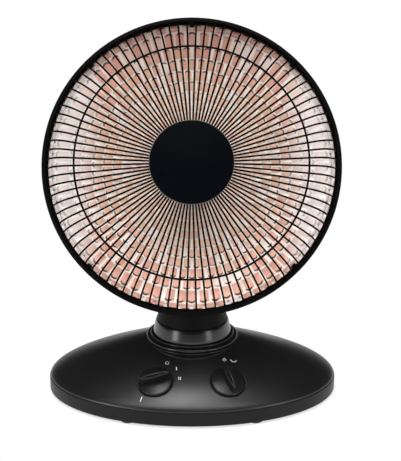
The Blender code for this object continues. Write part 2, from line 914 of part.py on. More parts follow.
def tilt_yoke(parent):
    """A U of steel plate whose ears carry the tilt bolt."""
    foot = neck_top + seat_gap
    half = yoke_half_gap + yoke_plate
    centre_y = pivot_back
    size = (half + half, yoke_foot_half + yoke_foot_half, yoke_plate)
    yoke = box("tilt_yoke", size, (0, centre_y, foot + yoke_plate / 2), parent=parent, finish="zinc_steel")
    rise = pivot_height - foot
    ear = [(-yoke_foot_half, 0), (yoke_foot_half, 0)] + arc((0, rise), yoke_ear_radius, 0, 180, arc_steps)
    hole = arc((0, rise), tilt_bolt_radius + play, 0, 360, small_steps)[:-1]
    upright = turn(90, "Z") @ turn(90, "X")
    for name, side in (("left", -1), ("right", 1)):
        x = side * (yoke_half_gap + yoke_plate / 2)
        mesh = plate("yoke_ear_" + name, [ear, hole], yoke_plate)
        join(yoke, add("yoke_ear_" + name, mesh, parent, at(x, centre_y, foot) @ upright))
    wire_hole = rod(spindle_bore - yoke_plate, foot - overrun, foot + yoke_plate + overrun)
    cut(yoke, turned("yoke_wire_hole", wire_hole, small_steps, parent=parent))


def tilt_bolt(parent):
    along_x = at(0, pivot_back, pivot_height) @ turn(90, "Y")
    half = yoke_half_gap + yoke_plate + seat_gap
    far = half + tilt_nut_height
    bolt = [
        (0, far - yoke_plate),
        (tilt_bolt_radius, far - yoke_plate),
        (tilt_bolt_radius, -half),
        (tilt_head_radius, -half),
        (tilt_head_radius, -half - tilt_head_height),
        (0, -half - tilt_head_height),
    ]
    turned("tilt_bolt", bolt, small_steps, parent=parent, frame=along_x, finish="zinc_steel")
    bore = tilt_bolt_radius + play
    bore_end = far - yoke_plate + play
    nut = [
        (0, far),
        (tilt_nut_radius, far),
        (tilt_nut_radius, half),
        (bore, half),
        (bore, bore_end),
        (0, bore_end),
    ]
    turned("tilt_nut", nut, small_steps, parent=parent, frame=along_x, finish="satin_black")


# Head, in the dish frame: Z towards the front, Y up the dish, origin at the rim's centre

def shell_height(share, inset=0):
    depth = (shell_depth - inset) * (1 - share**shell_power) ** (1 / shell_power)
    return shell_skirt_end - depth


def shell_line(shares, inset=0):
    return [(share * (shell_radius - inset), shell_height(share, inset)) for share in shares]


def rear_shell(dish):
    profile = [
        (shell_flange_inner, shell_front),
        (shell_flange_radius, shell_front),
        (shell_flange_radius, shell_skirt_end),
    ]
    profile += shell_line(shell_outer_shares)
    hole_outer = (shell_hole, shell_height(shell_hole / shell_radius))
    inside = shell_radius - shell_wall
    hole_inner = (shell_hole, shell_height(shell_hole / inside, shell_wall))
    profile += [hole_outer, hole_inner]
    profile += shell_line(shell_inner_shares, shell_wall)
    profile += [(inside, shell_front - shell_wall), (shell_flange_inner, shell_front - shell_wall)]
    shell = turned("rear_shell", profile, head_steps, parent=dish, finish="satin_black")
    slots = bmesh.new()
    reach = shell_depth + overrun
    size = Matrix.Diagonal((vent_outer - vent_inner, vent_width, reach, 1))
    place = at((vent_outer + vent_inner) / 2, 0, shell_skirt_end - shell_wall - reach / 2 - overrun)
    for i in range(vent_count):
        angle = 360 * (i + 0.5) / vent_count
        bmesh.ops.create_cube(slots, size=1, matrix=turn(angle, "Z") @ place @ size)
    mesh = bpy.data.meshes.new("vent_slots")
    slots.to_mesh(mesh)
    slots.free()
    cut(shell, add("vent_slots", mesh, dish))


def rear_housing(dish):
    edge = shell_height((housing_radius - housing_wall) / shell_radius) - seat_gap
    back = edge - housing_height
    profile = [
        (0, back + housing_wall),
        (housing_crown_radius - housing_wall, back + housing_wall),
        (housing_radius - housing_wall, edge),
        (housing_radius, edge),
        (housing_crown_radius + housing_wall, back + housing_wall),
        (housing_crown_radius, back),
        (0, back),
    ]
    turned("rear_housing", profile, middle_steps, parent=dish, finish="satin_black")


def rim_ring(dish):
    top = rim_lip_half
    wall = rim_radius - rim_wall
    profile = [
        (rim_lip_inner, top),
        (rim_radius - rim_edge, top),
        (rim_radius - rim_edge / 4, top - rim_edge / 3),
        (rim_radius, top - rim_edge),
        (rim_radius, -rim_depth),
        (wall, -rim_depth),
        (wall, -rim_lip_half),
        (rim_lip_inner, -rim_lip_half),
    ]
    turned("rim_ring", profile, rim_steps, parent=dish, finish="satin_black")


def wire_line(angle):
    """One guard wire, from its hairpin at the hub out over the shoulder to the one at the rim."""
    end_height = -rim_lip_half - seat_gap - wire_radius
    drop = wire_crown_height - end_height
    line = [(wire_hub_radius, wire_hub_height), (wire_shoulder_radius, wire_crown_height)]
    for i in range(1, wire_shoulder_steps + 1):
        bend = math.radians(90 * i / wire_shoulder_steps)
        radius = wire_shoulder_radius + wire_shoulder_reach * math.sin(bend)
        line.append((radius, end_height + drop * math.cos(bend)))
    return [(r * math.cos(angle), r * math.sin(angle), h) for r, h in line]


def wire_height(radius):
    share = (radius - wire_hub_radius) / (wire_shoulder_radius - wire_hub_radius)
    return wire_hub_height + share * (wire_crown_height - wire_hub_height)


def wire_guard(dish):
    """Radial wires bent from one length in hairpins, on a ring at the hub and one at the rim."""
    line = []
    for i in range(wire_count):
        wire = wire_line(2 * math.pi * (i + 0.5) / wire_count)
        line += wire if i % 2 else wire[::-1]
    add("wire_guard", wires("wire_guard", [line], wire_radius, 0, True), dish, finish="black_enamel")
    top = wire_hub_height - wire_radius - seat_gap
    inner, outer = wire_hub_radius - hub_ring_half, wire_hub_radius + hub_ring_half
    hub = ring(inner, outer, top - hub_ring_height, top)
    turned("guard_hub_ring", hub, head_steps, parent=dish, finish="black_enamel")
    top = -rim_lip_half - 2 * (seat_gap + wire_radius)
    outer = ring(guard_ring_inner, guard_ring_outer, reflector_front + seat_gap, top)
    turned("guard_outer_ring", outer, wide_steps, parent=dish, finish="black_enamel")
    height = wire_height(girdle_radius) - wire_radius - girdle_wire_radius - seat_gap
    section = arc((girdle_radius, height), girdle_wire_radius, 360, 0, girdle_sides)[:-1]
    turned("guard_ring_wire", section, wide_steps, parent=dish, finish="black_enamel")


def centre_cap(dish):
    rim_bottom = wire_height(cap_radius) + wire_radius + seat_gap
    back = cap_face_height - cap_wall
    profile = [
        (0, cap_face_height),
        (cap_radius - cap_edge, cap_face_height),
        (cap_radius, cap_face_height - cap_edge),
        (cap_radius, rim_bottom),
        (cap_radius - cap_wall, rim_bottom),
        (cap_radius - cap_wall, back),
        (0, back),
    ]
    turned("centre_cap", profile, head_steps, parent=dish, finish="satin_black")


def guard_clip(name, angle, head_radius, dish):
    """A clip over the rim's lip and the guard's outer ring, with its screw head."""
    frame = turn(angle, "Z")
    tab_bottom = rim_lip_half + seat_gap
    tab_top = tab_bottom + clip_plate
    middle = clip_inner + clip_length / 2
    size = (clip_length, clip_width, clip_plate)
    tab = box(name, size, (middle, 0, tab_bottom + clip_plate / 2), dish, frame, "black_enamel")
    leg_bottom = reflector_front + seat_gap
    leg_height = tab_top - clip_plate / 3 - leg_bottom
    size = (clip_leg, clip_width, leg_height)
    centre = (clip_inner + clip_leg / 2, 0, leg_bottom + leg_height / 2)
    join(tab, box(name + "_leg", size, centre, dish, frame))
    head = rod(head_radius, tab_bottom + clip_plate / 2, tab_top + clip_head_height, play)
    join(tab, turned(name + "_head", head, small_steps, dish, frame @ at(middle, 0)))


def reflector_height(radius):
    return reflector_front - reflector_depth * (1 - (radius / reflector_radius) ** 2)


def reflector_dish(dish):
    radii = [reflector_hole] + [share * reflector_radius for share in reflector_shares]
    profile = [(reflector_flange_radius, reflector_front), (reflector_flange_radius, reflector_back)]
    profile += [(radius, reflector_height(radius) - reflector_wall) for radius in reversed(radii)]
    profile += [(radius, reflector_height(radius)) for radius in radii]
    turned("reflector_dish", profile, head_steps, parent=dish, finish="warm_reflector")


def heating_element(dish):
    plate_top = reflector_height(reflector_hole) - reflector_wall - seat_gap
    plate_bottom = plate_top - plate_height
    stud_top = plate_top + terminal_in_ceramic
    hole = rod(terminal_radius + play, plate_bottom - overrun, stud_top)
    stud = rod(terminal_radius, plate_bottom - terminal_out, stud_top - play)
    holes = []
    for name, side in (("left", -1), ("right", 1)):
        place = at(side * terminal_across, 0)
        holes.append(turned("terminal_hole_" + name, hole, small_steps, dish, place))
        turned("element_terminal_" + name, stud, small_steps, dish, place, "brass")
    bore = bolt_radius + play
    disc = ring(bore, plate_radius, plate_bottom, plate_top)
    cut(turned("element_plate", disc, plain_steps, dish, finish="zinc_steel"), *holes)
    foot_bottom = plate_top + seat_gap
    foot_top = foot_bottom + ceramic_foot_height
    foot = [
        (bore, foot_top),
        (ceramic_foot_top, foot_top),
        (ceramic_foot_radius, foot_bottom),
        (bore, foot_bottom),
    ]
    cut(turned("ceramic_foot", foot, plain_steps, dish, finish="ceramic"), *holes)
    core_bottom = foot_top + seat_gap
    core_top = cap_face_height - cap_wall - core_room - bolt_head_height - seat_gap
    flange = core_top - core_flange_height
    core = [
        (bore, core_top),
        (core_flange_radius, core_top),
        (core_flange_radius, flange),
        (core_radius, flange),
        (core_radius, core_bottom),
        (bore, core_bottom),
    ]
    turned("ceramic_core", core, plain_steps, parent=dish, finish="ceramic")
    head = core_top + seat_gap
    bolt = [
        (0, head + bolt_head_height),
        (bolt_head_radius, head + bolt_head_height),
        (bolt_head_radius, head),
        (bolt_radius, head),
        (bolt_radius, plate_bottom - bolt_head_height),
        (0, plate_bottom - bolt_head_height),
    ]
    turned("element_bolt", bolt, small_steps, parent=dish, finish="zinc_steel")
    cutout_top = plate_bottom - seat_gap
    cutout = rod(cutout_radius, cutout_top - cutout_height, cutout_top)
    turned("thermal_cutout", cutout, small_steps, dish, at(0, cutout_up), "grey_plastic")
    line = coil_line(foot_top + seat_gap, flange - seat_gap)
    add("heating_coil", wires("heating_coil", [line], coil_wire_radius, 1), dish, finish="element_wire")
    print("heating coil, least gap to itself in mm:", round(least_gap(line) / millimetre, 2))


def on_coil(angle, along, height):
    """A point at an angle on the winding, or a step along its tangent there."""
    x = coil_radius * math.cos(angle) - along * math.sin(angle)
    y = coil_radius * math.sin(angle) + along * math.cos(angle)
    return (x, y, height)


def coil_line(bottom, top):
    """The winding round the core, with an end that runs straight into the ceramic at each side."""
    start, finish = bottom + coil_end, top - coil_end
    bends = [math.radians(90 * i / coil_bend_steps) for i in range(1, coil_bend_steps + 1)]
    lower, upper = [], []
    for bend in bends:
        along = coil_bend_radius * math.sin(bend)
        rise = coil_bend_radius * (1 - math.cos(bend))
        lower.insert(0, on_coil(0, -along, start - rise))
        upper.append(on_coil(0, along, finish + rise))
    steps = coil_turns * coil_points
    turns = [2 * math.pi * i / coil_points for i in range(steps + 1)]
    winding = [on_coil(turns[i], 0, start + (finish - start) * i / steps) for i in range(steps + 1)]
    lead_in = (*lower[0][:2], bottom)
    lead_out = (*upper[-1][:2], top)
    return [lead_in] + lower + winding + upper + [lead_out]


def least_gap(line):
    """The least distance between stretches of the tube that aren't neighbours, less its diameter."""
    points = [Vector(point) for point in line]
    apart = coil_points // 2
    nearest = coil_radius
    for i, point in enumerate(points):
        for other in points[i + apart:]:
            nearest = min(nearest, (point - other).length)
    return nearest - 2 * coil_wire_radius


def tilt_bracket(dish, pivot):
    """The arm that carries the dish on the tilt bolt, hollowed to lie on the rear shell."""
    ends = []
    for share in (bracket_bottom_share, bracket_top_share):
        ends.append((-shell_radius * share, shell_height(share) + bracket_into_shell))
    eye = arc(pivot, bracket_eye_radius, *bracket_eye_angles, arc_steps)
    outline = ends[:1] + eye + ends[1:]
    hole = arc(pivot, tilt_bolt_radius + play, 0, 360, small_steps)[:-1]
    axes = Matrix(((0, 0, 1, 0), (1, 0, 0, 0), (0, 1, 0, 0), (0, 0, 0, 1)))
    width = 2 * (yoke_half_gap - play)
    mesh = plate("tilt_bracket", [outline, hole], width)
    bracket = add("tilt_bracket", mesh, dish, axes, "zinc_steel")
    shares = (1,) + shell_outer_shares + (0,)
    skin = [(0, shell_front), (shell_radius + seat_gap, shell_front)]
    skin += shell_line(shares, -seat_gap)
    cut(bracket, turned("shell_skin", skin, head_steps, dish))


def head(tilt_axis, pivot):
    centre = Vector((0, -head_forward, head_centre_height))
    dish = empty("dish_frame", tilt_axis, at(*(centre - pivot)) @ turn(90 - head_tilt, "X"))
    tilt = math.radians(head_tilt)
    away = pivot - centre
    pivot_up = away.y * math.sin(tilt) + away.z * math.cos(tilt)
    pivot_out = -away.y * math.cos(tilt) + away.z * math.sin(tilt)
    rear_shell(dish)
    rear_housing(dish)
    tilt_bracket(dish, (pivot_up, pivot_out))
    rim_ring(dish)
    reflector_dish(dish)
    wire_guard(dish)
    centre_cap(dish)
    for i, name in enumerate(("upper_right", "upper_left", "lower_left", "lower_right")):
        guard_clip("guard_clip_" + name, 90 * (i + 0.5), clip_head_radius, dish)
    guard_clip("guard_clip_top", 90, top_head_radius, dish)
    heating_element(dish)


def shade():
    """Applies the modifiers and shades each part smooth between its sharp edges."""
    bpy.context.view_layer.update()
    graph = bpy.context.evaluated_depsgraph_get()
    pieces = [obj for obj in parts.objects if obj.type == "MESH"]
    meshes = [bpy.data.meshes.new_from_object(obj.evaluated_get(graph)) for obj in pieces]
    for obj, mesh in zip(pieces, meshes):
        mesh.shade_smooth()
        mesh.set_sharp_from_angle(angle=math.radians(sharp_angle))
        obj.modifiers.clear()
        obj.data = mesh


def main():
    clear_scene()
    base_cover()
    base_tray()
    base_fittings()
    neck_collar()
    swivel_bearing()
    tip_over_switch()
    tip_over_plunger()
    oscillation_motor()
    crank()
    rotary_switch("heat", -1, heat_grip_angle)
    rotary_switch("oscillation", 1, oscillation_grip_angle)
    swivel = empty("swivel_axis")
    neck_turret(swivel)
    swivel_arm(swivel)
    tilt_yoke(swivel)
    tilt_bolt(swivel)
    pivot = Vector((0, pivot_back, pivot_height))
    head(empty("tilt_axis", swivel, at(*pivot)), pivot)
    shade()


main()
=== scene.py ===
import math

import bpy
from mathutils import Matrix, Vector


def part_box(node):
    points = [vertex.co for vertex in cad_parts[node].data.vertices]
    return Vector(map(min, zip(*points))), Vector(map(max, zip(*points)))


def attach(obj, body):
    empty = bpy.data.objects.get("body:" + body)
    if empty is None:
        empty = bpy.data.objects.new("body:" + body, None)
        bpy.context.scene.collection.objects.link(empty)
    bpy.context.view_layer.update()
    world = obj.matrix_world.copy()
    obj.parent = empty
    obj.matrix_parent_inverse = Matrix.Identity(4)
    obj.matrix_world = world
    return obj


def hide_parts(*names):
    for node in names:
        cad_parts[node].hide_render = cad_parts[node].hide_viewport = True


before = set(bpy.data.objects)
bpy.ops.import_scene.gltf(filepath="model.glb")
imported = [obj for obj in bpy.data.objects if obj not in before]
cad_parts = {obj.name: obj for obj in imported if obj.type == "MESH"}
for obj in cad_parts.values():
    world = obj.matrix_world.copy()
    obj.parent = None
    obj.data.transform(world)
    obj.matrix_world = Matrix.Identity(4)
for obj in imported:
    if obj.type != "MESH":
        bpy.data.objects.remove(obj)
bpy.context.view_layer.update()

# Camera: the photograph's frame, its distance and how far the lens looks down
image_height = 461
focal_pixels = 1382
sensor_side = 36.0
lens_range = (0.05, 30)
view_distance = 1.7
view_drop = math.radians(18.77)
view_target = Vector((0.0105, 0.0, 0.2098))

# Base: an oval dome over a tray
half_width = 0.180
half_depth = 0.1205
oval = half_depth / half_width
foot_rise = 0.003
crease = 0.0207
dome_foot = 0.021
dome_rise = 0.077
dome_power = 0.67
dome_round = 0.65
dome_start_share = 0.22
dome_crowding = 2.2
cover_wall = 0.003
cover_inset = 1.35
shaft_hole_radius = 0.0053
tray_wall = 0.0025
tray_fillet = 0.002
floor_bottom = 0.005
floor_top = 0.0075
band_proud = 0.0008
band_edge = 0.0016
band_sole = 0.0012
foot_across = 0.07704
foot_forward = 0.097605
screw_across_share = 0.61
screw_forward_share = 0.46
screw_hole_radius = 0.0023
button_place = (0.060, 0.050, 0)
button_hole_radius = 0.0043
gland_hole_radius = 0.0048

# Collar and neck
opening = 0.0573
opening_reach = (0.03, 0.12)
fillet_radius = 0.0574
fillet_wire = 0.0006
fillet_lift = 0.0002
skirt_radius = 0.0487
skirt_bottom = 0.0766
skirt_top = 0.0952

# Knobs
knob_across = 0.044
knob_forward = 0.086
knob_radius = 0.021
knob_sink = 0.0007
knob_gap = 0.0017
knob_sink_depth = 0.0012
pointer_dot_radius = 0.0007
pointer_dot_place = (0.0202, 0, 0)
heat_turn = math.radians(8)
oscillation_turn = math.radians(-68)
grip_foot = 0.0014
grip_top = 0.0157
grip_length = 0.0375
grip_half_width = 0.0056
grip_taper = 0.0036
grip_skew = 0.0004
grip_bow = 0.0006
grip_shift = 0.0004
grip_end_drop = 0.0008
grip_top_share = 0.93
grip_end_draft = 0.05
grip_edge = 0.0004
grip_cuts = 5
# Across the grip: where each row of its top lies, as a share of its half width, and how far it drops
grip_rows = ((-1.0, 0.0007), (-0.80, 0.0001), (-0.55, 0.0004), (-0.30, 0.0022), (-0.04, 0.0003),
             (0.50, 0.0002), (1.0, 0.0012))

# Printed marks: how thick the ink is and how far it stands off the dome
ink = 0.00016
ink_lift = 0.00002
# Spots that several marks share: side, angle round the knob and distance from its middle
swing_mark_spot = (1, 82, 0.0353)
fixed_mark_spot = (1, 100, 0.0357)

# Head: the dish's own frame has Z to the front and Y up the dish
tilt = math.radians(24.1)
dish_place = (0, -0.020, 0.2995)
dish = Matrix.Translation(dish_place) @ Matrix.Rotation(math.pi / 2 - tilt, 4, "X")
rim_radius = 0.180
rim_sheet = 0.0018
rim_back = -0.016
rim_crest = -0.0021
rim_roll = 0.0031
lip_inner = 0.1745
lip_bead = 0.0010
wire_count = 96
wire_radius = 0.0011
hub_wire_radius = 0.044
wire_foot = 0.0205
wire_rise = 0.0067
wire_rise_end = 0.150
shoulder_radius = 0.1480
shoulder_foot = -0.0023
shoulder_reach = 0.0248
shoulder_rise = 0.0293
shoulder_steps = 10
hairpin_end = 0.1732
girdle_radius = 0.139
girdle_drop = 0.0015
girdle_wire_radius = 0.0012
cap_radius = 0.0505
cap_face = 0.0245
cap_roll = 0.0012
cap_lip = 0.0006
clip_radius = 0.1728
clip_width = 0.0060
clip_edge = 0.0004
clip_screw_radius = 0.0026
top_screw_radius = 0.0036
top_screw_inwards = 0.0018
cross_turn = 0.6

# Reflector: a bowl of stamped bricks, each pressed in by three steps of a width and a depth
reflector_radius = 0.1724
bowl_edge = -0.0086
bowl_depth = 0.051
brick_count = 72
brick_angle = math.tau / brick_count
brick_rows = (0.0210, 0.0300, 0.0400, 0.0500, 0.0620, 0.0740, 0.0857, 0.0973, 0.1091, 0.1220, 0.1351,
              0.1483, 0.1651)
brick_edges = brick_rows + (reflector_radius + 0.0001,)
brick_presses = ((0.0004, 0.0), (0.0007, 0.0006), (0.0012, 0.0004))
# The brick map starts far from zero, so that no column is below it
first_column = 200
map_margin = 0.001

# Rear shell and its slots
shell_radius = 0.176
shell_depth = 0.0525
shell_seam = -0.0175
shell_sheet = 0.002
shell_mouth = 0.0340
vent_count = 12
vent_first = math.radians(15)
vent_width = 0.006
vent_radii = (0.065, 0.117)
vent_reach = (-0.093, -0.023)

# Steps round a large, a middling and a small turned piece, and the gap that merging closes
fine = 160
middle = 96
small = 32
seam = 0.000004


# Modelling by hand

def let_go():
    """Leaves edit mode and deselects everything."""
    if bpy.context.mode != "OBJECT":
        bpy.ops.object.mode_set(mode="OBJECT")
    bpy.ops.object.select_all(action="DESELECT")


def take(piece):
    let_go()
    piece.select_set(True)
    bpy.context.view_layer.objects.active = piece


def edit(piece):
    """Into edit mode with the whole piece selected."""
    take(piece)
    bpy.ops.object.mode_set(mode="EDIT")
    bpy.ops.mesh.select_all(action="SELECT")


def named(name):
    piece = bpy.context.active_object
    piece.name = name
    piece.data.name = name
    return piece


def draw_line(name, points):
    """A chain of points: one vertex, extruded from each point to the next."""
    points = [Vector(point) for point in points]
    let_go()
    bpy.ops.mesh.primitive_plane_add(size=0.001, location=points[0])
    piece = named(name)
    bpy.ops.object.mode_set(mode="EDIT")
    bpy.ops.mesh.select_all(action="SELECT")
    bpy.ops.mesh.merge(type="CENTER")
    for start, end in zip(points, points[1:]):
        bpy.ops.mesh.extrude_vertices_move(TRANSFORM_OT_translate={"value": end - start})
    bpy.ops.object.mode_set(mode="OBJECT")
    settle(piece)
    return piece


def settle(piece, place=None):
    """Puts the piece where it belongs and applies that place to its mesh."""
    if place is not None:
        piece.matrix_world = place @ piece.matrix_world
    take(piece)
    bpy.ops.object.transform_apply(location=True, rotation=True, scale=True)


def turned(name, profile, steps):
    """A profile of (radius, height) points, drawn at +X and spun about Z."""
    piece = draw_line(name, [(radius, 0, height) for radius, height in profile])
    edit(piece)
    bpy.ops.mesh.spin(steps=steps, angle=math.tau, center=(0, 0, 0), axis=(0, 0, 1))
    close_up(piece)
    return piece


def close_up(piece):
    """Merges what meets and turns the faces outwards."""
    edit(piece)
    bpy.ops.mesh.remove_doubles(threshold=seam)
    bpy.ops.mesh.normals_make_consistent(inside=False)
    bpy.ops.object.mode_set(mode="OBJECT")


def soften(piece, degrees=35):
    take(piece)
    bpy.ops.object.shade_smooth_by_angle(angle=math.radians(degrees))


def round_edges(piece, width, segments=3, degrees=35):
    take(piece)
    bpy.ops.object.modifier_add(type="BEVEL")
    bevel = piece.modifiers[-1]
    bevel.width = width
    bevel.segments = segments
    bevel.limit_method = "ANGLE"
    bevel.angle_limit = math.radians(degrees)
    bpy.ops.object.modifier_apply(modifier=bevel.name)


def combine(piece, other, operation):
    """Adds the other solid to the piece or takes it away, and removes it."""
    take(piece)
    bpy.ops.object.modifier_add(type="BOOLEAN")
    boolean = piece.modifiers[-1]
    boolean.operation = operation
    boolean.solver = "EXACT"
    boolean.object = other
    bpy.ops.object.modifier_apply(modifier=boolean.name)
    bpy.data.objects.remove(other)


def cut_out(piece, cutter, place=None):
    """Cuts the cutter's shape out of the piece, at a place if one is given."""
    if place is not None:
        settle(cutter, place)
    combine(piece, cutter, "DIFFERENCE")


def join(name, pieces):
    let_go()
    for piece in pieces:
        piece.select_set(True)
    bpy.context.view_layer.objects.active = pieces[0]
    bpy.ops.object.join()
    return named(name)


def copy_to(piece, place):
    """A copy with its own mesh, set at a place."""
    copy = piece.copy()
    copy.data = piece.data.copy()
    bpy.context.scene.collection.objects.link(copy)
    copy.matrix_world = place @ piece.matrix_world
    return copy


def repeat_round(name, piece, count, first=0.0):
    """The piece and its copies at even steps round Z, joined to one."""
    copies = [copy_to(piece, Matrix.Rotation(first + math.tau * i / count, 4, "Z")) for i in range(count)]
    bpy.data.objects.remove(piece)
    piece = join(name, copies)
    settle(piece)
    return piece


def rod(name, radius, bottom, top, sides, edge=0.0, segments=2):
    """A round bar that starts as a cylinder, with its edges rounded."""
    let_go()
    bpy.ops.mesh.primitive_cylinder_add(vertices=sides, radius=radius, depth=top - bottom,
                                        location=(0, 0, (top + bottom) / 2))
    piece = named(name)
    settle(piece)
    if edge:
        round_edges(piece, edge, segments, 60)
    return piece


def block(name, size, centre, edge=0.0, segments=2):
    """A block that starts as a cube, with its edges rounded."""
    let_go()
    bpy.ops.mesh.primitive_cube_add(size=1, location=centre)
    piece = named(name)
    piece.scale = size
    settle(piece)
    if edge:
        round_edges(piece, edge, segments)
    return piece


def wire(name, points, radius, sides=2, closed=False):
    """A wire drawn along points, with round sides and capped ends."""
    piece = draw_line(name, points)
    if closed:
        edit(piece)
        bpy.ops.mesh.remove_doubles(threshold=seam)
        bpy.ops.object.mode_set(mode="OBJECT")
    take(piece)
    bpy.ops.object.convert(target="CURVE")
    piece = bpy.context.active_object
    piece.data.bevel_depth = radius
    piece.data.bevel_resolution = sides
    piece.data.use_fill_caps = True
    bpy.ops.object.convert(target="MESH")
    piece = named(name)
    close_up(piece)
    return piece


def arc(centre, radius, start, end, steps):
    """Points on an arc, its angles in degrees."""
    places = []
    for i in range(steps + 1):
        a = math.radians(start + (end - start) * i / steps)
        places.append((centre[0] + radius * math.cos(a), centre[1] + radius * math.sin(a)))
    return places


def round_corners(profile, radius, steps=3):
    """The profile with each inner corner cut back by a radius and rounded."""
    points = [Vector(point) for point in profile]
    made = [points[0]]
    for before, corner, after in zip(points, points[1:], points[2:]):
        back, on = before - corner, after - corner
        cut = min(radius, back.length * 0.45, on.length * 0.45)
        start, end = corner + back.normalized() * cut, corner + on.normalized() * cut
        for i in range(steps + 1):
            t = i / steps
            made.append(start * (1 - t) ** 2 + corner * 2 * t * (1 - t) + end * t ** 2)
    made.append(points[-1])
    return [tuple(point) for point in made]


def ring_section(inner, outer, bottom, top):
    """The outline of a flat ring's section."""
    return [(inner, bottom), (inner, top), (outer, top), (outer, bottom), (inner, bottom)]


# Finishes

# How much of a cloud pattern counts as none and as all, for tone and for sheen
cloud_tones = (0.35, 0.7)
cloud_sheen = (0.3, 0.72)

# The reflector: brick fields near the rim and the hub, their smudges, the bricks' pale sides, which are a
# painted reflection, a painted reflection that makes the dish paler far out to the left and right, a painted
# shadow at the bricks' outer ends, and a painted shade over the top, under the rim, with the heights that it
# grows over
deep_fields = ((0.76, 0.38, 0.29), (0.80, 0.46, 0.32))
peach_fields = ((0.92, 0.56, 0.38), (0.94, 0.62, 0.41))
field_smudge = (0.80, 0.45, 0.37)
brick_side_reflections = ((0.98, 0.85, 0.77), (0.99, 0.92, 0.87))
painted_far_sides = (0.99, 0.94, 0.91)
painted_end_shadow = (0.085, 0.040, 0.030)
painted_top_shade = (0.56, 0.48, 0.46)
top_shade_heights = (0.375, 0.450)


def new_finish(name):
    material = bpy.data.materials.new(name)
    material.use_nodes = True
    return material, material.node_tree, material.node_tree.nodes["Principled BSDF"]


def pattern(tree, kind, scale, detail=2.0, stretch=(1, 1, 1)):
    """A noise or a grain in the piece's own place, at so many spots a metre."""
    place = tree.nodes.new("ShaderNodeTexCoord")
    mapping = tree.nodes.new("ShaderNodeMapping")
    mapping.inputs["Scale"].default_value = stretch
    tree.links.new(place.outputs["Object"], mapping.inputs["Vector"])
    if kind == "cells":
        grain = tree.nodes.new("ShaderNodeTexVoronoi")
        out = grain.outputs["Distance"]
    else:
        grain = tree.nodes.new("ShaderNodeTexNoise")
        grain.inputs["Detail"].default_value = detail
        out = grain.outputs["Fac"]
    grain.inputs["Scale"].default_value = scale
    tree.links.new(mapping.outputs["Vector"], grain.inputs["Vector"])
    return out


def apart(tree, vector):
    """The X, Y and Z of a vector."""
    parts = tree.nodes.new("ShaderNodeSeparateXYZ")
    tree.links.new(vector, parts.inputs[0])
    return parts.outputs


def spread(tree, source, low, high, out_low, out_high):
    """Stretches a pattern between two levels."""
    reach = tree.nodes.new("ShaderNodeMapRange")
    reach.interpolation_type = "SMOOTHSTEP"
    for name, value in (("From Min", low), ("From Max", high), ("To Min", out_low), ("To Max", out_high)):
        reach.inputs[name].default_value = value
    tree.links.new(source, reach.inputs["Value"])
    return reach.outputs["Result"]


def worked_out(tree, operation, first, second=None):
    """Arithmetic on one or two values, each a number or another node's result."""
    node = tree.nodes.new("ShaderNodeMath")
    node.operation = operation
    for i, value in enumerate((first, second)):
        if isinstance(value, (int, float)):
            node.inputs[i].default_value = value
        elif value is not None:
            tree.links.new(value, node.inputs[i])
    return node.outputs[0]


def blend_colours(tree, share, first, second, blend="MIX"):
    mix = tree.nodes.new("ShaderNodeMix")
    mix.data_type = "RGBA"
    mix.blend_type = blend
    tree.links.new(share, mix.inputs["Factor"])
    for socket, colour in (("A", first), ("B", second)):
        target = next(s for s in mix.inputs if s.name == socket and s.type == "RGBA")
        if isinstance(colour, tuple):
            target.default_value = (*colour, 1)
        else:
            tree.links.new(colour, target)
    return next(s for s in mix.outputs if s.type == "RGBA")


def relief(tree, source, depth, strength, shader):
    bump = tree.nodes.new("ShaderNodeBump")
    bump.inputs["Distance"].default_value = depth
    bump.inputs["Strength"].default_value = strength
    tree.links.new(source, bump.inputs["Height"])
    tree.links.new(bump.outputs["Normal"], shader.inputs["Normal"])


def coated(name, base, worn, rough, metallic=0.0, cloud=14, grain=1400, depth=0.00004, strength=0.35,
           kind="noise", specular=0.5, stretch=(1, 1, 1)):
    """A finish with clouds of tone and sheen over a fine grain."""
    material, tree, shader = new_finish(name)
    clouds = pattern(tree, "noise", cloud, 4.0)
    fine_grain = pattern(tree, kind, grain, 2.0, stretch)
    share = spread(tree, clouds, *cloud_tones, 0.0, 1.0)
    colour = blend_colours(tree, share, base, worn)
    tree.links.new(colour, shader.inputs["Base Color"])
    tree.links.new(spread(tree, clouds, *cloud_sheen, *rough), shader.inputs["Roughness"])
    relief(tree, fine_grain, depth, strength, shader)
    shader.inputs["Metallic"].default_value = metallic
    shader.inputs["Specular IOR Level"].default_value = specular
    return material


satin_black = coated("moulded_satin_black", (0.0020, 0.0020, 0.0024), (0.0032, 0.0031, 0.0032), (0.35, 0.40),
                     grain=2600, depth=0.00003, strength=0.25, specular=0.95)
sheen_black = coated("neck_sheen_black", (0.0034, 0.0033, 0.0034), (0.0046, 0.0045, 0.0044), (0.25, 0.30),
                     grain=2400, depth=0.00003, strength=0.22, specular=0.7)
matt_black = coated("moulded_matt_black", (0.0030, 0.0031, 0.0036), (0.0042, 0.0042, 0.0046), (0.50, 0.60),
                    grain=1800, depth=0.00006, strength=0.4, specular=0.10)
knob_black = coated("knob_black", (0.0042, 0.0042, 0.0048), (0.0060, 0.0060, 0.0064), (0.27, 0.33),
                    grain=3000, depth=0.00002, strength=0.2)
band_black = coated("moulded_band_black", (0.0040, 0.0040, 0.0042), (0.0058, 0.0058, 0.0060), (0.36, 0.44),
                    grain=2600, depth=0.00003, strength=0.25, specular=0.22)
painted_black = coated("painted_steel_black", (0.0026, 0.0028, 0.0028), (0.0040, 0.0040, 0.0040),
                       (0.46, 0.56), grain=700, depth=0.00005, strength=0.25, specular=0.03)
# Painted highlight: grey for the cap's rolled edge, in place of the shine that the edge catches
cap_edge_highlight = coated("painted_cap_edge_highlight", (0.10, 0.105, 0.11), (0.17, 0.17, 0.17), (0.40, 0.52),
                   cloud=40, grain=900, depth=0.00003)
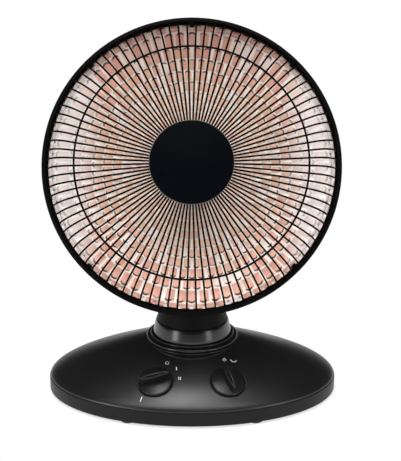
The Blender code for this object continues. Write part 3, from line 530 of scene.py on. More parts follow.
cap_black = coated("cap_enamel_black", (0.0007, 0.0013, 0.0026), (0.0011, 0.0018, 0.0032), (0.28, 0.34),
                   grain=500, depth=0.00004, strength=0.12, specular=0.06)
wire_black = coated("guard_wire_black", (0.0026, 0.0010, 0.0008), (0.0036, 0.0015, 0.0011), (0.46, 0.56),
                    grain=1800, depth=0.00003, strength=0.3, specular=0.03)
print_white = coated("printed_white", (0.72, 0.72, 0.70), (0.62, 0.62, 0.60), (0.5, 0.6), grain=2200)
zinc_plate = coated("zinc_plated_steel", (0.50, 0.51, 0.52), (0.60, 0.60, 0.58), (0.26, 0.40), 1.0,
                    cloud=60, grain=900, depth=0.00002, stretch=(1, 1, 6))
brass = coated("turned_brass", (0.70, 0.50, 0.20), (0.62, 0.42, 0.17), (0.24, 0.36), 1.0,
               cloud=70, grain=1200, stretch=(1, 1, 8))
cast_iron = coated("cast_iron", (0.06, 0.06, 0.063), (0.10, 0.09, 0.085), (0.6, 0.75), 0.6,
                   cloud=50, grain=900, depth=0.0002, strength=0.6, kind="cells")
rubber = coated("black_rubber", (0.018, 0.018, 0.018), (0.028, 0.027, 0.026), (0.75, 0.9),
                cloud=120, grain=2500, depth=0.00006, strength=0.5)
grey_plastic = coated("grey_moulded_plastic", (0.32, 0.32, 0.31), (0.36, 0.36, 0.345), (0.5, 0.6), cloud=80)
white_plastic = coated("white_nylon", (0.70, 0.69, 0.64), (0.62, 0.60, 0.54), (0.42, 0.55), cloud=80)
ceramic = coated("unglazed_ceramic", (0.76, 0.72, 0.64), (0.62, 0.57, 0.49), (0.6, 0.72),
                 cloud=160, grain=1600, depth=0.00012, strength=0.5, kind="cells")
element_wire = coated("oxidised_element_wire", (0.20, 0.105, 0.065), (0.34, 0.20, 0.13), (0.42, 0.6), 0.7,
                      cloud=220, grain=1500)


def stamped_reflector():
    """Warm anodised sheet: copper brick fields, pale sides of painted reflection, ends of painted shadow."""
    material, tree, shader = new_finish("warm_stamped_reflector")

    def step(operation, first, second=None):
        return worked_out(tree, operation, first, second)

    brick_map = tree.nodes.new("ShaderNodeUVMap")
    brick_map.uv_map = "bricks"
    across, along = apart(tree, brick_map.outputs["UV"])[:2]
    column, row = step("FLOOR", across), step("FLOOR", along)
    side, end = step("SUBTRACT", across, column), step("SUBTRACT", along, row)
    cell = tree.nodes.new("ShaderNodeCombineXYZ")
    tree.links.new(column, cell.inputs[0])
    tree.links.new(row, cell.inputs[1])
    chance = tree.nodes.new("ShaderNodeTexWhiteNoise")
    chance.noise_dimensions = "3D"
    tree.links.new(cell.outputs[0], chance.inputs["Vector"])
    pick = chance.outputs["Value"]
    tones = tree.nodes.new("ShaderNodeSeparateColor")
    tree.links.new(chance.outputs["Color"], tones.inputs[0])
    lean, pale = tones.outputs["Green"], tones.outputs["Blue"]

    middle_of_field = step("ADD", 0.5, step("MULTIPLY", step("SUBTRACT", lean, 0.5), 0.30))
    aside = step("ABSOLUTE", step("SUBTRACT", side, middle_of_field))
    endways = step("ABSOLUTE", step("SUBTRACT", end, 0.5))
    field = step("MULTIPLY", spread(tree, aside, 0.33, 0.45, 1.0, 0.0),
                 spread(tree, endways, 0.36, 0.48, 1.0, 0.0))
    # Bricks picked at random keep little field, and fields shrink near the hub: more painted reflection shows
    # there
    keep = spread(tree, pale, 0.05, 0.22, 0.15, 1.0)
    far = spread(tree, along, 6.0, 11.0, 0.10, 1.0)
    field = step("MULTIPLY", step("MULTIPLY", field, keep), spread(tree, along, 2.0, 10.0, 0.65, 1.0))
    deep = blend_colours(tree, pick, *deep_fields)
    peach = blend_colours(tree, pick, *peach_fields)
    warm = blend_colours(tree, far, peach, deep)
    smudge = pattern(tree, "noise", 160, 3.0)
    smudged = spread(tree, smudge, *cloud_tones, 0.0, 0.5)
    warm = blend_colours(tree, smudged, warm, field_smudge)
    # Painted reflection: a pale colour round each brick's field, for the shine off its stamped sides
    pale_reflection = blend_colours(tree, spread(tree, smudge, 0.3, 0.7, 0.0, 1.0), *brick_side_reflections)
    place = tree.nodes.new("ShaderNodeTexCoord")
    spot = apart(tree, place.outputs["Object"])
    # Painted reflection: the dish turns paler far out to the left and right
    sides = spread(tree, step("ABSOLUTE", spot["X"]), 0.100, 0.145, 0.0, 1.0)
    colour = blend_colours(tree, field, pale_reflection, warm)
    colour = blend_colours(tree, step("MULTIPLY", sides, 0.75), colour, painted_far_sides)
    # Painted shadow: a dark arch at each brick's outer end, where its stamped step is shaded; fewer far out
    # to the sides
    bow = step("MULTIPLY", step("POWER", step("SUBTRACT", side, 0.5), 2.0), 1.3)
    edge = step("SUBTRACT", end, step("SUBTRACT", 0.93, bow))
    end_shadow = step("MULTIPLY", spread(tree, step("ABSOLUTE", edge), 0.045, 0.11, 1.0, 0.0),
                spread(tree, step("ABSOLUTE", step("SUBTRACT", side, 0.5)), 0.22, 0.36, 1.0, 0.0))
    shown = step("MULTIPLY", spread(tree, along, 5.5, 8.5, 0.15, 1.0),
                 spread(tree, lean, 0.05, 0.4, 0.45, 0.95))
    end_shadow = step("MULTIPLY", step("MULTIPLY", end_shadow, shown), spread(tree, sides, 0.0, 1.0, 1.0, 0.45))
    colour = blend_colours(tree, end_shadow, colour, painted_end_shadow)
    # Painted shade: the colour darkens towards the top of the dish, under the rim
    top_shade_share = spread(tree, spot["Z"], *top_shade_heights, 0.0, 0.9)
    colour = blend_colours(tree, top_shade_share, colour, painted_top_shade, "MULTIPLY")
    tree.links.new(colour, shader.inputs["Base Color"])
    tree.links.new(spread(tree, smudge, 0.3, 0.7, 0.34, 0.46), shader.inputs["Roughness"])
    shader.inputs["Metallic"].default_value = 0.22
    relief(tree, pattern(tree, "noise", 900, 2.0), 0.00003, 0.15, shader)
    return material


reflector_finish = stamped_reflector()


def fit(piece, body, finish, slot, *nodes):
    """Gives the piece its finish, body and the frame nodes that it stands for."""
    piece.data.materials.clear()
    piece.data.materials.append(finish)
    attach(piece, body)
    if nodes:
        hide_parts(*nodes)


def paint_faces(piece, finish, indices):
    """Gives the faces with these numbers a second finish."""
    piece.data.materials.append(finish)
    for index in indices:
        piece.data.polygons[index].material_index = 1


# Base

def dome_height(share, inset=0.0):
    rise = dome_rise - inset * cover_inset
    return dome_foot + rise * (1 - min(share, 1.0) ** dome_power) ** dome_round


def dome_seat(x, y):
    """A place on the dome, Z out of its surface and Y up its slope."""
    share = math.hypot(x / half_width, y / half_depth)
    power = share ** dome_power
    slope = dome_rise * dome_round * dome_power * (1 - power) ** (dome_round - 1) * power / share ** 2
    normal = Vector((slope * x / half_width ** 2, slope * y / half_depth ** 2, 1)).normalized()
    across = Vector((0, 1, 0)).cross(normal).normalized()
    axes = Matrix((across, normal.cross(across), normal)).transposed().to_4x4()
    return Matrix.Translation((x, y, dome_height(share))) @ axes


def dome_shares(first, count):
    """Shares of the plan radius that crowd towards the edge, where the dome turns down."""
    return [first + (1 - first) * (1 - (1 - i / count) ** dome_crowding) for i in range(count + 1)]


def base_dome():
    """The cover: a domed shell with the neck's opening and two sunk seats for the knobs."""
    outside = [(half_width * s, dome_height(s)) for s in dome_shares(dome_start_share, 44)]
    inner_radius = half_width - cover_wall
    inner_shares = reversed(dome_shares(dome_start_share, 20))
    inside = [(inner_radius * s, dome_height(s, cover_wall)) for s in inner_shares]
    piece = turned("base_dome", outside + inside + outside[:1], fine)
    settle(piece, Matrix.Diagonal((1, oval, 1, 1)))
    cut_out(piece, rod("neck_opening", opening, *opening_reach, fine))
    above, below = 0.006, -0.01
    for x in (-knob_across, knob_across):
        seat = dome_seat(x, -knob_forward)
        sink = rod("knob_sink", knob_radius + knob_gap, -knob_sink_depth, above, middle, 0.0003)
        cut_out(piece, sink, seat)
        cut_out(piece, rod("shaft_hole", shaft_hole_radius, below, above, small), seat)
    soften(piece, 28)
    fit(piece, "base", satin_black, "satin_black", "base_cover")


def base_band():
    """The tray: an upright band with a floor sunk above its foot."""
    band = half_width + band_proud
    wall = band - tray_wall
    profile = [(0, floor_top), (wall - tray_fillet, floor_top), (wall, floor_top + tray_fillet)]
    profile += [(wall, crease), (band - band_edge, crease)]
    profile += arc((band - band_edge, crease - band_edge), band_edge, 80, 0, 5)
    profile += arc((band - band_sole, foot_rise + band_sole), band_sole, 0, -90, 5)
    profile += [(wall, foot_rise), (wall, floor_bottom), (0, floor_bottom)]
    piece = turned("base_band", profile, fine)
    settle(piece, Matrix.Diagonal((1, oval, 1, 1)))
    above = 0.02
    for sx in (-1, 1):
        for sy in (-1, 1):
            x, y = sx * half_width * screw_across_share, sy * half_depth * screw_forward_share
            hole = rod("screw_hole", screw_hole_radius, 0, above, small)
            cut_out(piece, hole, Matrix.Translation((x, y, 0)))
    cut_out(piece, rod("button_hole", button_hole_radius, 0, above, small), Matrix.Translation(button_place))
    low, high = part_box("cord_gland")
    centre = (Vector(low) + Vector(high)) / 2
    outwards = Vector((centre.x / half_width ** 2, centre.y / half_depth ** 2, 0))
    place = Matrix.Translation(centre) @ outwards.to_track_quat("Z", "Y").to_matrix().to_4x4()
    cut_out(piece, rod("gland_hole", gland_hole_radius, -0.012, 0.012, small), place)
    soften(piece, 35)
    fit(piece, "base", band_black, "satin_black", "base_tray")


def beaded_collar():
    """The collar: a small bead at the mouth, a larger one below and a slim ledge at its foot."""
    mouth, wall, bore = 0.0495, 0.0510, 0.0243
    foot, plate = 0.0600, 0.0630
    profile = [(mouth, 0.0740), (mouth, 0.0766)] + arc((0.0508, 0.0761), 0.0014, 165, -40, 10)
    profile += [(0.0528, 0.0746)] + arc((0.0546, 0.0721), 0.0026, 112, -60, 14)
    profile += arc((0.0561, 0.0686), 0.0011, 105, -80, 8)
    profile += [(0.0562, foot), (bore, foot)]
    profile += [(bore, plate), (wall, plate), (wall, 0.0690), (mouth, 0.0740)]
    piece = turned("beaded_collar", profile, fine)
    soften(piece, 40)
    fit(piece, "base", sheen_black, "satin_black", "neck_collar")
    ledge_top, groove_low, groove_high = 0.0674, 0.0692, 0.0712
    matt = [face.index for face in piece.data.polygons
            if face.center.z < ledge_top or groove_low < face.center.z < groove_high]
    paint_faces(piece, matt_black, matt)


def dome_fillet():
    """The thin raised line where the dome meets the collar."""
    points = []
    for x, y in arc((0, 0), fillet_radius, 0, 360, fine):
        share = math.hypot(x / half_width, y / half_depth)
        points.append((x, y, dome_height(share) + fillet_lift))
    piece = wire("dome_fillet", points, fillet_wire, 2, True)
    soften(piece, 60)
    fit(piece, "base", satin_black, "satin_black")


def turning_neck():
    """The neck that turns with the head: a flared skirt, a straight neck and a rounded crown."""
    inner, bore, spindle, step = 0.0395, 0.0125, 0.0177, 0.024
    crown, inside, step_foot, foot = 0.128, 0.109, 0.0656, 0.042
    profile = [(bore, crown), (0.0285, crown)]
    profile += [(0.0335, 0.1262), (0.0378, 0.1225), (0.0402, 0.1180), (0.0413, 0.1130)]
    profile += [(0.0420, 0.1080), (0.0428, 0.1020), (0.0434, 0.0980), (0.0438, skirt_top)]
    profile += [(0.0447, skirt_top - 0.0006), (0.0453, skirt_top - 0.0016), (0.0463, 0.0900)]
    profile += [(0.0474, 0.0854), (0.0484, 0.0812), (skirt_radius, 0.0799), (0.0486, skirt_bottom)]
    profile += [(0.0465, skirt_bottom), (inner, skirt_top - 0.002), (inner, inside), (step, inside)]
    profile += [(step, step_foot), (spindle, step_foot), (spindle, foot), (bore, foot), (bore, crown)]
    piece = turned("turning_neck", profile, fine)
    soften(piece, 30)
    fit(piece, "swivel_neck", sheen_black, "satin_black", "neck_turret")
    paint_faces(piece, matt_black, [face.index for face in piece.data.polygons if face.center.z > skirt_top])


def knob(name, body, side, turn):
    """A domed disc with a lens-shaped, grooved finger bar. Only the right knob's pointer dot shows."""
    disc = [(0, 0.0047), (0.0060, 0.0046), (0.0110, 0.0042), (0.0150, 0.0037), (0.0180, 0.0032)]
    disc += [(0.0198, 0.0028), (0.0205, 0.0025), (0.0209, 0.0019), (knob_radius, 0.0010)]
    disc += [(knob_radius, -knob_sink), (0, -knob_sink)]
    piece = turned(name, disc, middle)
    soften(piece, 40)
    bar = block(name + "_bar", (grip_length, 2, grip_top - grip_foot), (0, 0, (grip_top + grip_foot) / 2))
    edit(bar)
    bpy.ops.mesh.subdivide(number_cuts=grip_cuts)
    bpy.ops.object.mode_set(mode="OBJECT")
    for vert in bar.data.vertices:
        along = vert.co.x / (grip_length / 2)
        height = (vert.co.z - grip_foot) / (grip_top - grip_foot)
        row = round((vert.co.y + 1) / 2 * (grip_cuts + 1))
        half = grip_half_width - grip_taper * along ** 2 - grip_skew * along
        closed = 1 - along ** 4
        if height > 0.99:
            share, drop = grip_rows[row]
            vert.co.z -= drop * closed + grip_end_drop * along ** 2
            half *= grip_top_share
        else:
            share = vert.co.y
            half *= 1 - (1 - grip_top_share) * height
        vert.co.x *= 1 - grip_end_draft * height
        vert.co.y = half * share + grip_bow * (1 - along ** 2)
        vert.co.x += grip_shift
    round_edges(bar, grip_edge, 2, 40)
    settle(bar, Matrix.Rotation(turn, 4, "Z"))
    soften(bar, 38)
    piece = join(name, [piece, bar])
    seat = dome_seat(side * knob_across, -knob_forward)
    settle(piece, seat)
    if side > 0:
        dot = rod(name + "_dot", pointer_dot_radius, 0.0, 0.0024, 12)
        settle(dot, seat @ Matrix.Rotation(turn, 4, "Z") @ Matrix.Translation(pointer_dot_place))
        fit(dot, body, print_white, "white_plastic")
    fit(piece, body, knob_black, "satin_black", name)


def plate_mark(name, outline):
    """A printed mark: an outline filled and raised by its ink."""
    piece = draw_line(name, [(x, y, 0) for x, y in outline] + [(*outline[0], 0)])
    edit(piece)
    bpy.ops.mesh.remove_doubles(threshold=seam)
    bpy.ops.mesh.edge_face_add()
    bpy.ops.mesh.extrude_region_move(TRANSFORM_OT_translate={"value": (0, 0, ink)})
    bpy.ops.mesh.select_all(action="SELECT")
    bpy.ops.mesh.normals_make_consistent(inside=False)
    bpy.ops.object.mode_set(mode="OBJECT")
    return piece


def ring_mark(name, radius, width):
    return turned(name, ring_section(radius - width, radius, 0, ink), small)


def bar_mark(name, width, height):
    w, h = width / 2, height / 2
    return plate_mark(name, [(-w, -h), (w, -h), (w, h), (-w, h)])


def dial_marks():
    """The printed marks round each knob, each laid on the dome's slope."""
    marks = []

    def lay(piece, side, degrees, distance, lean=0.0):
        seat = dome_seat(side * knob_across, -knob_forward)
        a = math.radians(degrees)
        spot = seat @ Vector((distance * math.cos(a), distance * math.sin(a), 0))
        place = dome_seat(spot.x, spot.y) @ Matrix.Rotation(math.radians(lean), 4, "Z")
        settle(piece, place @ Matrix.Translation((0, 0, ink_lift)))
        marks.append(piece)

    lay(ring_mark("heat_off_mark", 0.0023, 0.00036), -1, 61, 0.0320)
    lay(bar_mark("heat_one_mark", 0.0011, 0.0047), -1, 34, 0.0319)
    for i, x in enumerate((-0.0010, 0.0010)):
        bar = bar_mark("heat_two_mark_" + str(i), 0.0008, 0.0044)
        settle(bar, Matrix.Translation((x, 0, 0)))
        lay(bar, -1, 5, 0.0297)
    pointer = [(-0.0013, -0.0034), (-0.0003, -0.0036), (0.0004, -0.0014), (0.0011, 0.0032)]
    pointer += [(0.0004, 0.0034), (-0.0006, -0.0010)]
    lay(plate_mark("heat_pointer_mark", pointer), -1, -131, 0.0275, -14)
    lay(ring_mark("fixed_ring_mark", 0.0022, 0.00042), *fixed_mark_spot)
    lay(rod("fixed_dot_mark", 0.0006, 0, ink, 16), *fixed_mark_spot)
    curve = arc((0, 0.0022), 0.0039, 205, 335, 10) + arc((0, 0.0022), 0.0032, 335, 205, 10)
    lay(plate_mark("swing_arc_mark", curve), *swing_mark_spot)
    for i, x in enumerate((-0.0034, 0.0034)):
        tip = plate_mark("swing_arrow_mark_" + str(i), [(-0.0009, 0), (0.0009, 0), (0, 0.0014)])
        settle(tip, Matrix.Translation((x, 0.0006, 0)))
        lay(tip, *swing_mark_spot)
    piece = join("dial_marks", marks)
    fit(piece, "base", print_white, "white_plastic")


def rubber_feet():
    """Rubber feet with a rounded sole."""
    profile = [(0, 0.0047), (0.008, 0.0047), (0.0086, 0.0035), (0.0090, 0.0016), (0.0088, 0.0005)]
    profile += [(0.0082, 0), (0.0055, 0), (0.0050, 0.0005), (0, 0.0005)]
    for x, side in ((-foot_across, "left"), (foot_across, "right")):
        for y, end in ((-foot_forward, "front"), (foot_forward, "rear")):
            foot = turned("rubber_foot_" + end + "_" + side, profile, small)
            settle(foot, Matrix.Translation((x, y, 0)))
            soften(foot, 40)
            fit(foot, "base", rubber, "rubber", "foot_" + end + "_" + side)


# Head

def fit_head(piece, finish, slot, *nodes):
    """Sets the piece in the dish and fits it to the head."""
    settle(piece, dish)
    fit(piece, "head", finish, slot, *nodes)


def rolled_rim():
    """The rim: sheet steel rolled over to a lip at the front."""
    inside = rim_radius - rim_sheet
    profile = [(inside, rim_back), (rim_radius, rim_back), (rim_radius, rim_crest)]
    profile += arc((rim_radius - rim_roll, rim_crest), rim_roll, 12, 78, 8)
    profile += [(lip_inner + lip_bead, lip_bead)] + arc((lip_inner + lip_bead, 0), lip_bead, 100, 260, 8)
    profile += [(lip_inner + 0.0012, -lip_bead), (rim_radius - 0.0030, -lip_bead), (inside, -0.0024)]
    profile += [(inside, rim_back)]
    piece = turned("rolled_rim", profile, fine)
    soften(piece, 40)
    fit_head(piece, painted_black, "satin_black", "rim_ring")


def wire_height(radius):
    share = (radius - hub_wire_radius) / (wire_rise_end - hub_wire_radius)
    return wire_foot + share * wire_rise


def guard_wires():
    """Radial wires in hairpins: out from the hub, over the shoulder and down to the rim, and back."""
    line = [(hub_wire_radius, wire_foot)] + [(r, wire_height(r)) for r in (0.060, 0.090, 0.120, 0.138)]
    for i in range(shoulder_steps + 1):
        bend = math.radians(90 * i / shoulder_steps)
        radius = shoulder_radius + shoulder_reach * math.sin(bend)
        line.append((radius, shoulder_foot + shoulder_rise * math.cos(bend)))
    half = math.pi / wire_count
    going = [(r * math.cos(-half), r * math.sin(-half), h) for r, h in line]
    coming = [(r * math.cos(half), r * math.sin(half), h) for r, h in reversed(line)]
    hairpin = wire("guard_hairpin", going + [(hairpin_end, 0, shoulder_foot)] + coming, wire_radius, 1)
    soften(hairpin, 60)
    piece = repeat_round("guard_wires", hairpin, wire_count // 2)
    fit_head(piece, wire_black, "black_enamel", "wire_guard")


def guard_rings():
    """The hub ring, the rim ring that the hairpins sit on, and the girdle wire behind them."""
    hub = turned("hub_ring", round_corners(ring_section(0.041, 0.047, 0.0162, 0.0192), 0.0006), middle)
    seat = turned("seat_ring", round_corners(ring_section(0.1722, 0.1752, -0.0083, -0.0036), 0.0008), fine)
    height = wire_height(girdle_radius) - wire_radius - girdle_drop
    circle = [(x, y, height) for x, y in arc((0, 0), girdle_radius, 0, 360, fine)]
    girdle = wire("girdle_wire", circle, girdle_wire_radius, 2, True)
    rings = ((hub, 40, "guard_hub_ring"), (seat, 40, "guard_outer_ring"), (girdle, 60, "guard_ring_wire"))
    for piece, degrees, node in rings:
        soften(piece, degrees)
        fit_head(piece, wire_black, "black_enamel", node)


def hub_cap():
    """The cap over the hub: a flat pressed disc with a rolled edge."""
    back, inside, inner = 0.0222, 0.0230, cap_radius - 0.0015
    profile = [(0, cap_face), (cap_radius - 0.0022, cap_face)]
    profile += arc((cap_radius - cap_roll, cap_face - cap_roll), cap_roll, 80, 0, 6)
    profile += [(cap_radius, 0.0225), (cap_radius - cap_lip, back)]
    profile += [(inner, back), (inner, inside), (0, inside)]
    piece = turned("hub_cap", profile, fine)
    soften(piece, 35)
    # Painted highlight: the rolled edge's faces take the grey finish
    edge_highlight_faces = [face.index for face in piece.data.polygons
            if math.hypot(face.center.x, face.center.y) > cap_radius - cap_lip]
    fit_head(piece, cap_black, "satin_black", "centre_cap")
    paint_faces(piece, cap_edge_highlight, edge_highlight_faces)


def clip(corner, degrees, head_radius, inwards=0.0):
    """A clip over the rim's lip, with a raised cross-slot screw."""
    name = "clip_" + corner
    tab = block(name, (0.0070, clip_width, 0.0013), (clip_radius, 0, 0.00195), clip_edge, 3)
    leg = block(name + "_leg", (0.0014, clip_width, 0.0104), (0.1700, 0, -0.0031), clip_edge)
    top, foot = 0.0040, 0.0020
    profile = [(0, top), (head_radius * 0.55, 0.0038), (head_radius * 0.85, 0.0032)]
    profile += [(head_radius, 0.0024), (head_radius, foot), (0, foot)]
    head = turned(name + "_screw", profile, small)
    for turn in (0.0, math.pi / 2):
        groove = block("cross", (head_radius * 1.1, 0.0006, 0.0012), (0, 0, top))
        cut_out(head, groove, Matrix.Rotation(turn + cross_turn, 4, "Z"))
    settle(head, Matrix.Translation((clip_radius - inwards, 0, 0)))
    piece = join(name, [tab, leg, head])
    settle(piece, Matrix.Rotation(math.radians(degrees), 4, "Z"))
    soften(piece, 35)
    fit_head(piece, wire_black, "black_enamel", "guard_" + name)


def reflector_height(radius):
    return bowl_edge - bowl_depth * (1 - (radius / reflector_radius) ** 2)


def brick_row(radius):
    """Which row of bricks a radius lies in."""
    for row, outer in enumerate(brick_edges[1:]):
        if radius < outer:
            return row
    return len(brick_edges) - 2


def brick_of(face):
    """The row and the column of the brick that a face belongs to."""
    row = brick_row(math.hypot(face.center.x, face.center.y))
    turn = math.atan2(face.center.y, face.center.x) / brick_angle
    return row, math.floor(turn + 0.5 * (row % 2))


def stamp_bricks(piece):
    """Presses every brick inwards from its seams, in four passes so that no two that touch go together."""
    for row_step in (0, 1):
        for column_step in (0, 1):
            edit(piece)
            bpy.ops.mesh.select_all(action="DESELECT")
            bpy.ops.mesh.select_mode(type="FACE")
            bpy.ops.object.mode_set(mode="OBJECT")
            for face in piece.data.polygons:
                row, column = brick_of(face)
                face.select = row % 2 == row_step and column % 2 == column_step
            bpy.ops.object.mode_set(mode="EDIT")
            for width, depth in brick_presses:
                bpy.ops.mesh.inset(thickness=width, depth=depth)
            bpy.ops.mesh.select_mode(type="VERT")
            bpy.ops.object.mode_set(mode="OBJECT")


def stamped_dish():
    """The reflector: rings of stamped bricks, each row shifted by half a brick, and a flat flange."""
    rings = [(r, reflector_height(r)) for r in brick_rows + (reflector_radius,)]
    piece = turned("stamped_reflector", rings, brick_count * 2)
    edit(piece)
    bpy.ops.mesh.normals_make_consistent(inside=True)
    stamp_bricks(piece)
    lay_brick_map(piece)
    soften(piece, 50)
    start, outer, face, back = reflector_radius - 0.0002, 0.177, -0.0084, -0.0094
    profile = [(start, -0.0088), (0.1728, face), (outer, face), (outer, back), (0.1724, back)]
    flange = turned("reflector_flange", profile + profile[:1], brick_count * 2)
    soften(flange, 40)
    fit_head(flange, zinc_plate, "warm_reflector")
    rings = [(r, reflector_height(r) - 0.0008) for r in brick_rows] + [(0.1686, back)]
    rear = turned("reflector_back", rings, brick_count)
    soften(rear, 60)
    fit_head(rear, zinc_plate, "warm_reflector")
    fit_head(piece, reflector_finish, "warm_reflector", "reflector_dish")


def lay_brick_map(piece):
    """A map with one unit to a brick, across and outwards."""
    mesh = piece.data
    layer = mesh.uv_layers.new(name="bricks")
    for face in mesh.polygons:
        row = brick_row(math.hypot(face.center.x, face.center.y))
        inner, outer = brick_edges[row], brick_edges[row + 1]
        middle_angle = math.atan2(face.center.y, face.center.x)
        for loop in face.loop_indices:
            co = mesh.vertices[mesh.loops[loop].vertex_index].co
            angle = math.atan2(co.y, co.x)
            angle += math.tau * round((middle_angle - angle) / math.tau)
            out = (math.hypot(co.x, co.y) - inner) / (outer - inner)
            out = min(max(out, map_margin), 1 - map_margin)
            layer.data[loop].uv = (angle / brick_angle + 0.5 * (row % 2) + first_column, row + out)


def vented_shell():
    """The back of the head: a pressed bowl with a flange and a ring of slots."""
    inner_radius, inner_depth = shell_radius - shell_sheet, shell_depth - shell_sheet
    flange, edge, front = 0.171, 0.1778, -0.0097

    def height(radius, reach, depth):
        return shell_seam - depth * math.sqrt(1 - (radius / reach) ** 2)

    def bowl(reach, depth, first, last, steps):
        angles = [math.radians(first + (last - first) * i / steps) for i in range(steps + 1)]
        return [(reach * math.cos(a), shell_seam - depth * math.sin(a)) for a in angles]

    outside = [(flange, front), (0.1774, front), (edge, -0.0102), (edge, -0.0168), (0.1772, shell_seam)]
    outside += bowl(shell_radius, shell_depth, 3, 77, 30)
    outside += [(0.0345, height(0.0345, shell_radius, shell_depth))]
    outside += [(shell_mouth, height(shell_mouth, shell_radius, shell_depth) + 0.0006)]
    inside = [(shell_mouth, height(shell_mouth, inner_radius, inner_depth))]
    inside += bowl(inner_radius, inner_depth, 77, 3, 20)
    inside += [(inner_radius, front - shell_sheet), (flange, front - shell_sheet), (flange, front)]
    piece = turned("vented_shell", outside + inside, fine)
    inner, outer = vent_radii
    low, high = vent_reach
    size = (outer - inner, vent_width, high - low)
    cutter = block("vent_straight", size, ((inner + outer) / 2, 0, (low + high) / 2))
    for x in vent_radii:
        end = rod("vent_end", vent_width / 2, low, high, 20)
        settle(end, Matrix.Translation((x, 0, 0)))
        combine(cutter, end, "UNION")
    cut_out(piece, repeat_round("vents", cutter, vent_count, vent_first))
    soften(piece, 30)
    fit_head(piece, painted_black, "satin_black", "rear_shell")


def rear_cover():
    """The cover over the terminals at the back, with a drawn crown."""
    low, high, wall, corner = -0.0869, -0.0689, 0.002, 0.003
    profile = [(0, low), (0.0330, low)] + arc((0.0330, low + corner), corner, -90, -25, 5)
    profile += [(0.0418, high - 0.0022), (0.0420, high), (0.0400, high), (0.0398, high - wall)]
    profile += [(0.0338, low + 0.0032), (0.0325, low + wall), (0, low + wall)]
    piece = turned("rear_cover", profile, middle)
    soften(piece, 35)
    fit_head(piece, satin_black, "satin_black", "rear_housing")


# The other nodes of the frame keep their shape and get their finish

kept_nodes = (
    (zinc_plate, ("base_screw_front_left", "base_screw_front_right", "base_screw_rear_left",
                  "base_screw_rear_right", "oscillation_motor", "motor_bracket", "motor_output_shaft",
                  "heat_switch_shaft", "oscillation_switch_shaft", "swivel_arm", "arm_spacer",
                  "spindle_clip", "tilt_yoke", "tilt_bolt", "element_plate", "element_bolt", "tilt_bracket")),
    (brass, ("spindle_nut", "element_terminal_left", "element_terminal_right")),
    (cast_iron, ("counterweight",)),
    (rubber, ("cord_gland",)),
    (grey_plastic, ("tip_over_switch", "heat_switch", "oscillation_switch", "thermal_cutout")),
    (white_plastic, ("terminal_block", "swivel_bearing", "tip_over_plunger", "crank_arm")),
    (ceramic, ("ceramic_foot", "ceramic_core")),
    (element_wire, ("heating_coil",)),
    (satin_black, ("tilt_nut",)),
)


def dress_frame():
    for finish, names in kept_nodes:
        for name in names:
            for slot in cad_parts[name].material_slots:
                slot.material = finish


# Studio

white = (1, 1, 1)
floor_paper = (0.34, 0.34, 0.34)
floor_radius = 4.5
floor_glow = 0.64
floor_fade = (0.185, 0.29)
far_gloss_share = 0.25
fill_light = 1.12
sky_gloss = (0.022, 0.022, 0.024)
horizon = 0.06
# Each softbox: its name, place, aim, width, height and power
softboxes = (
    ("overhead_softbox", (-0.06, -0.20, 1.65), (-0.04, -0.12, 0.05), 0.55, 1.20, 12.0),
    ("front_softbox", (-0.10, -0.93, 1.48), (-0.04, -0.12, 0.04), 1.90, 0.36, 8.0),
    ("left_softbox", (-1.85, -1.55, 0.40), (0, 0, 0.1), 0.60, 0.72, 9.0),
    ("right_softbox", (1.85, -1.55, 0.40), (0, 0, 0.1), 0.60, 0.72, 5.5),
)


def seen_rays(tree, gloss_share):
    """1 for rays from the camera or through glass, and a share for rays off gloss."""
    path = tree.nodes.new("ShaderNodeLightPath")
    seen = worked_out(tree, "MULTIPLY", path.outputs["Is Glossy Ray"], gloss_share)
    for ray in ("Is Camera Ray", "Is Transmission Ray"):
        seen = worked_out(tree, "MAXIMUM", seen, path.outputs[ray])
    return seen


def mix_shaders(tree, share, first, second):
    mix = tree.nodes.new("ShaderNodeMixShader")
    tree.links.new(share, mix.inputs["Fac"])
    tree.links.new(first, mix.inputs[1])
    tree.links.new(second, mix.inputs[2])
    return mix.outputs[0]


def pale_floor():
    """Grey paper that glows where it is seen, and fades to plain white away from the base."""
    let_go()
    bpy.ops.mesh.primitive_circle_add(vertices=middle, radius=floor_radius, fill_type="NGON")
    floor = named("floor")
    material = bpy.data.materials.new("pale_floor")
    material.use_nodes = True
    tree = material.node_tree
    tree.nodes.clear()
    out = tree.nodes.new("ShaderNodeOutputMaterial")
    paper = tree.nodes.new("ShaderNodeBsdfDiffuse")
    paper.inputs["Color"].default_value = (*floor_paper, 1)
    glow = tree.nodes.new("ShaderNodeEmission")
    lift = worked_out(tree, "MULTIPLY", seen_rays(tree, 1.0), floor_glow)
    tree.links.new(lift, glow.inputs["Strength"])
    near = tree.nodes.new("ShaderNodeAddShader")
    tree.links.new(paper.outputs[0], near.inputs[0])
    tree.links.new(glow.outputs[0], near.inputs[1])
    plain = tree.nodes.new("ShaderNodeEmission")
    place = tree.nodes.new("ShaderNodeTexCoord")
    squeeze = tree.nodes.new("ShaderNodeMapping")
    squeeze.inputs["Scale"].default_value = (1, 1 / oval, 1)
    distance = tree.nodes.new("ShaderNodeVectorMath")
    distance.operation = "LENGTH"
    tree.links.new(place.outputs["Object"], squeeze.inputs["Vector"])
    tree.links.new(squeeze.outputs["Vector"], distance.inputs[0])
    far = spread(tree, distance.outputs["Value"], *floor_fade, 0.0, 1.0)
    share = worked_out(tree, "MULTIPLY", far, seen_rays(tree, far_gloss_share))
    both = mix_shaders(tree, share, near.outputs[0], plain.outputs[0])
    tree.links.new(both, out.inputs["Surface"])
    floor.data.materials.append(material)


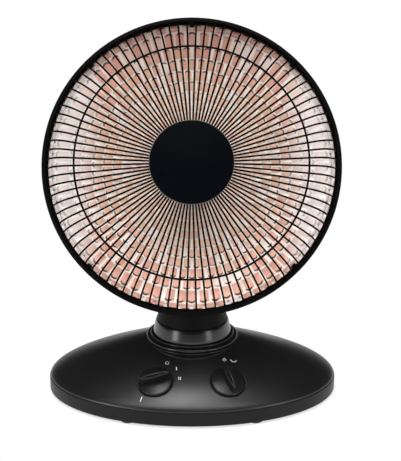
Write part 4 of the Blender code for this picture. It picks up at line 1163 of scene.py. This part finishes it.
def studio_world():
    """White where it is seen, a fill for the floor and the body, and dark above the horizon for gloss."""
    world = bpy.data.worlds.new("studio")
    bpy.context.scene.world = world
    world.use_nodes = True
    tree = world.node_tree
    tree.nodes.clear()
    out = tree.nodes.new("ShaderNodeOutputWorld")

    def sky(colour, strength=1.0):
        back = tree.nodes.new("ShaderNodeBackground")
        back.inputs["Color"].default_value = (*colour, 1)
        back.inputs["Strength"].default_value = strength
        return back.outputs[0]

    place = tree.nodes.new("ShaderNodeTexCoord")
    height = apart(tree, place.outputs["Generated"])["Z"]
    low = spread(tree, height, 0.0, horizon, 1.0, 0.0)
    gloss = mix_shaders(tree, low, sky(sky_gloss), sky(white))
    path = tree.nodes.new("ShaderNodeLightPath")
    lit = mix_shaders(tree, path.outputs["Is Glossy Ray"], sky(white, fill_light), gloss)
    shown = mix_shaders(tree, seen_rays(tree, 0.0), lit, sky(white))
    tree.links.new(shown, out.inputs["Surface"])


def softbox(name, place, target, width, height, power):
    lamp = bpy.data.lights.new(name, "AREA")
    lamp.shape = "RECTANGLE"
    lamp.size = width
    lamp.size_y = height
    lamp.energy = power
    holder = bpy.data.objects.new(name, lamp)
    bpy.context.scene.collection.objects.link(holder)
    holder.location = place
    holder.rotation_euler = (Vector(target) - Vector(place)).to_track_quat("-Z", "Y").to_euler()


def studio():
    pale_floor()
    studio_world()
    for box in softboxes:
        softbox(*box)


def camera():
    lens = bpy.data.cameras.new("photo_camera")
    lens.sensor_width = sensor_side
    lens.lens = focal_pixels * sensor_side / image_height
    lens.clip_start, lens.clip_end = lens_range
    holder = bpy.data.objects.new("photo_camera", lens)
    bpy.context.scene.collection.objects.link(holder)
    back = Vector((0, -math.cos(view_drop), math.sin(view_drop)))
    holder.location = view_target + back * view_distance
    holder.rotation_euler = (-back).to_track_quat("-Z", "Y").to_euler()
    bpy.context.scene.camera = holder


camera()
base_dome()
base_band()
beaded_collar()
dome_fillet()
turning_neck()
knob("heat_knob", "heat_control", -1, heat_turn)
knob("oscillation_knob", "oscillation_control", 1, oscillation_turn)
dial_marks()
rubber_feet()
rolled_rim()
guard_wires()
guard_rings()
hub_cap()
for corner, degrees in (("upper_right", 45), ("upper_left", 135), ("lower_left", 225), ("lower_right", 315)):
    clip(corner, degrees, clip_screw_radius)
clip("top", 90, top_screw_radius, top_screw_inwards)
stamped_dish()
vented_shell()
rear_cover()
dress_frame()
studio()
bpy.context.scene.view_settings.view_transform = "Standard"

let_go()
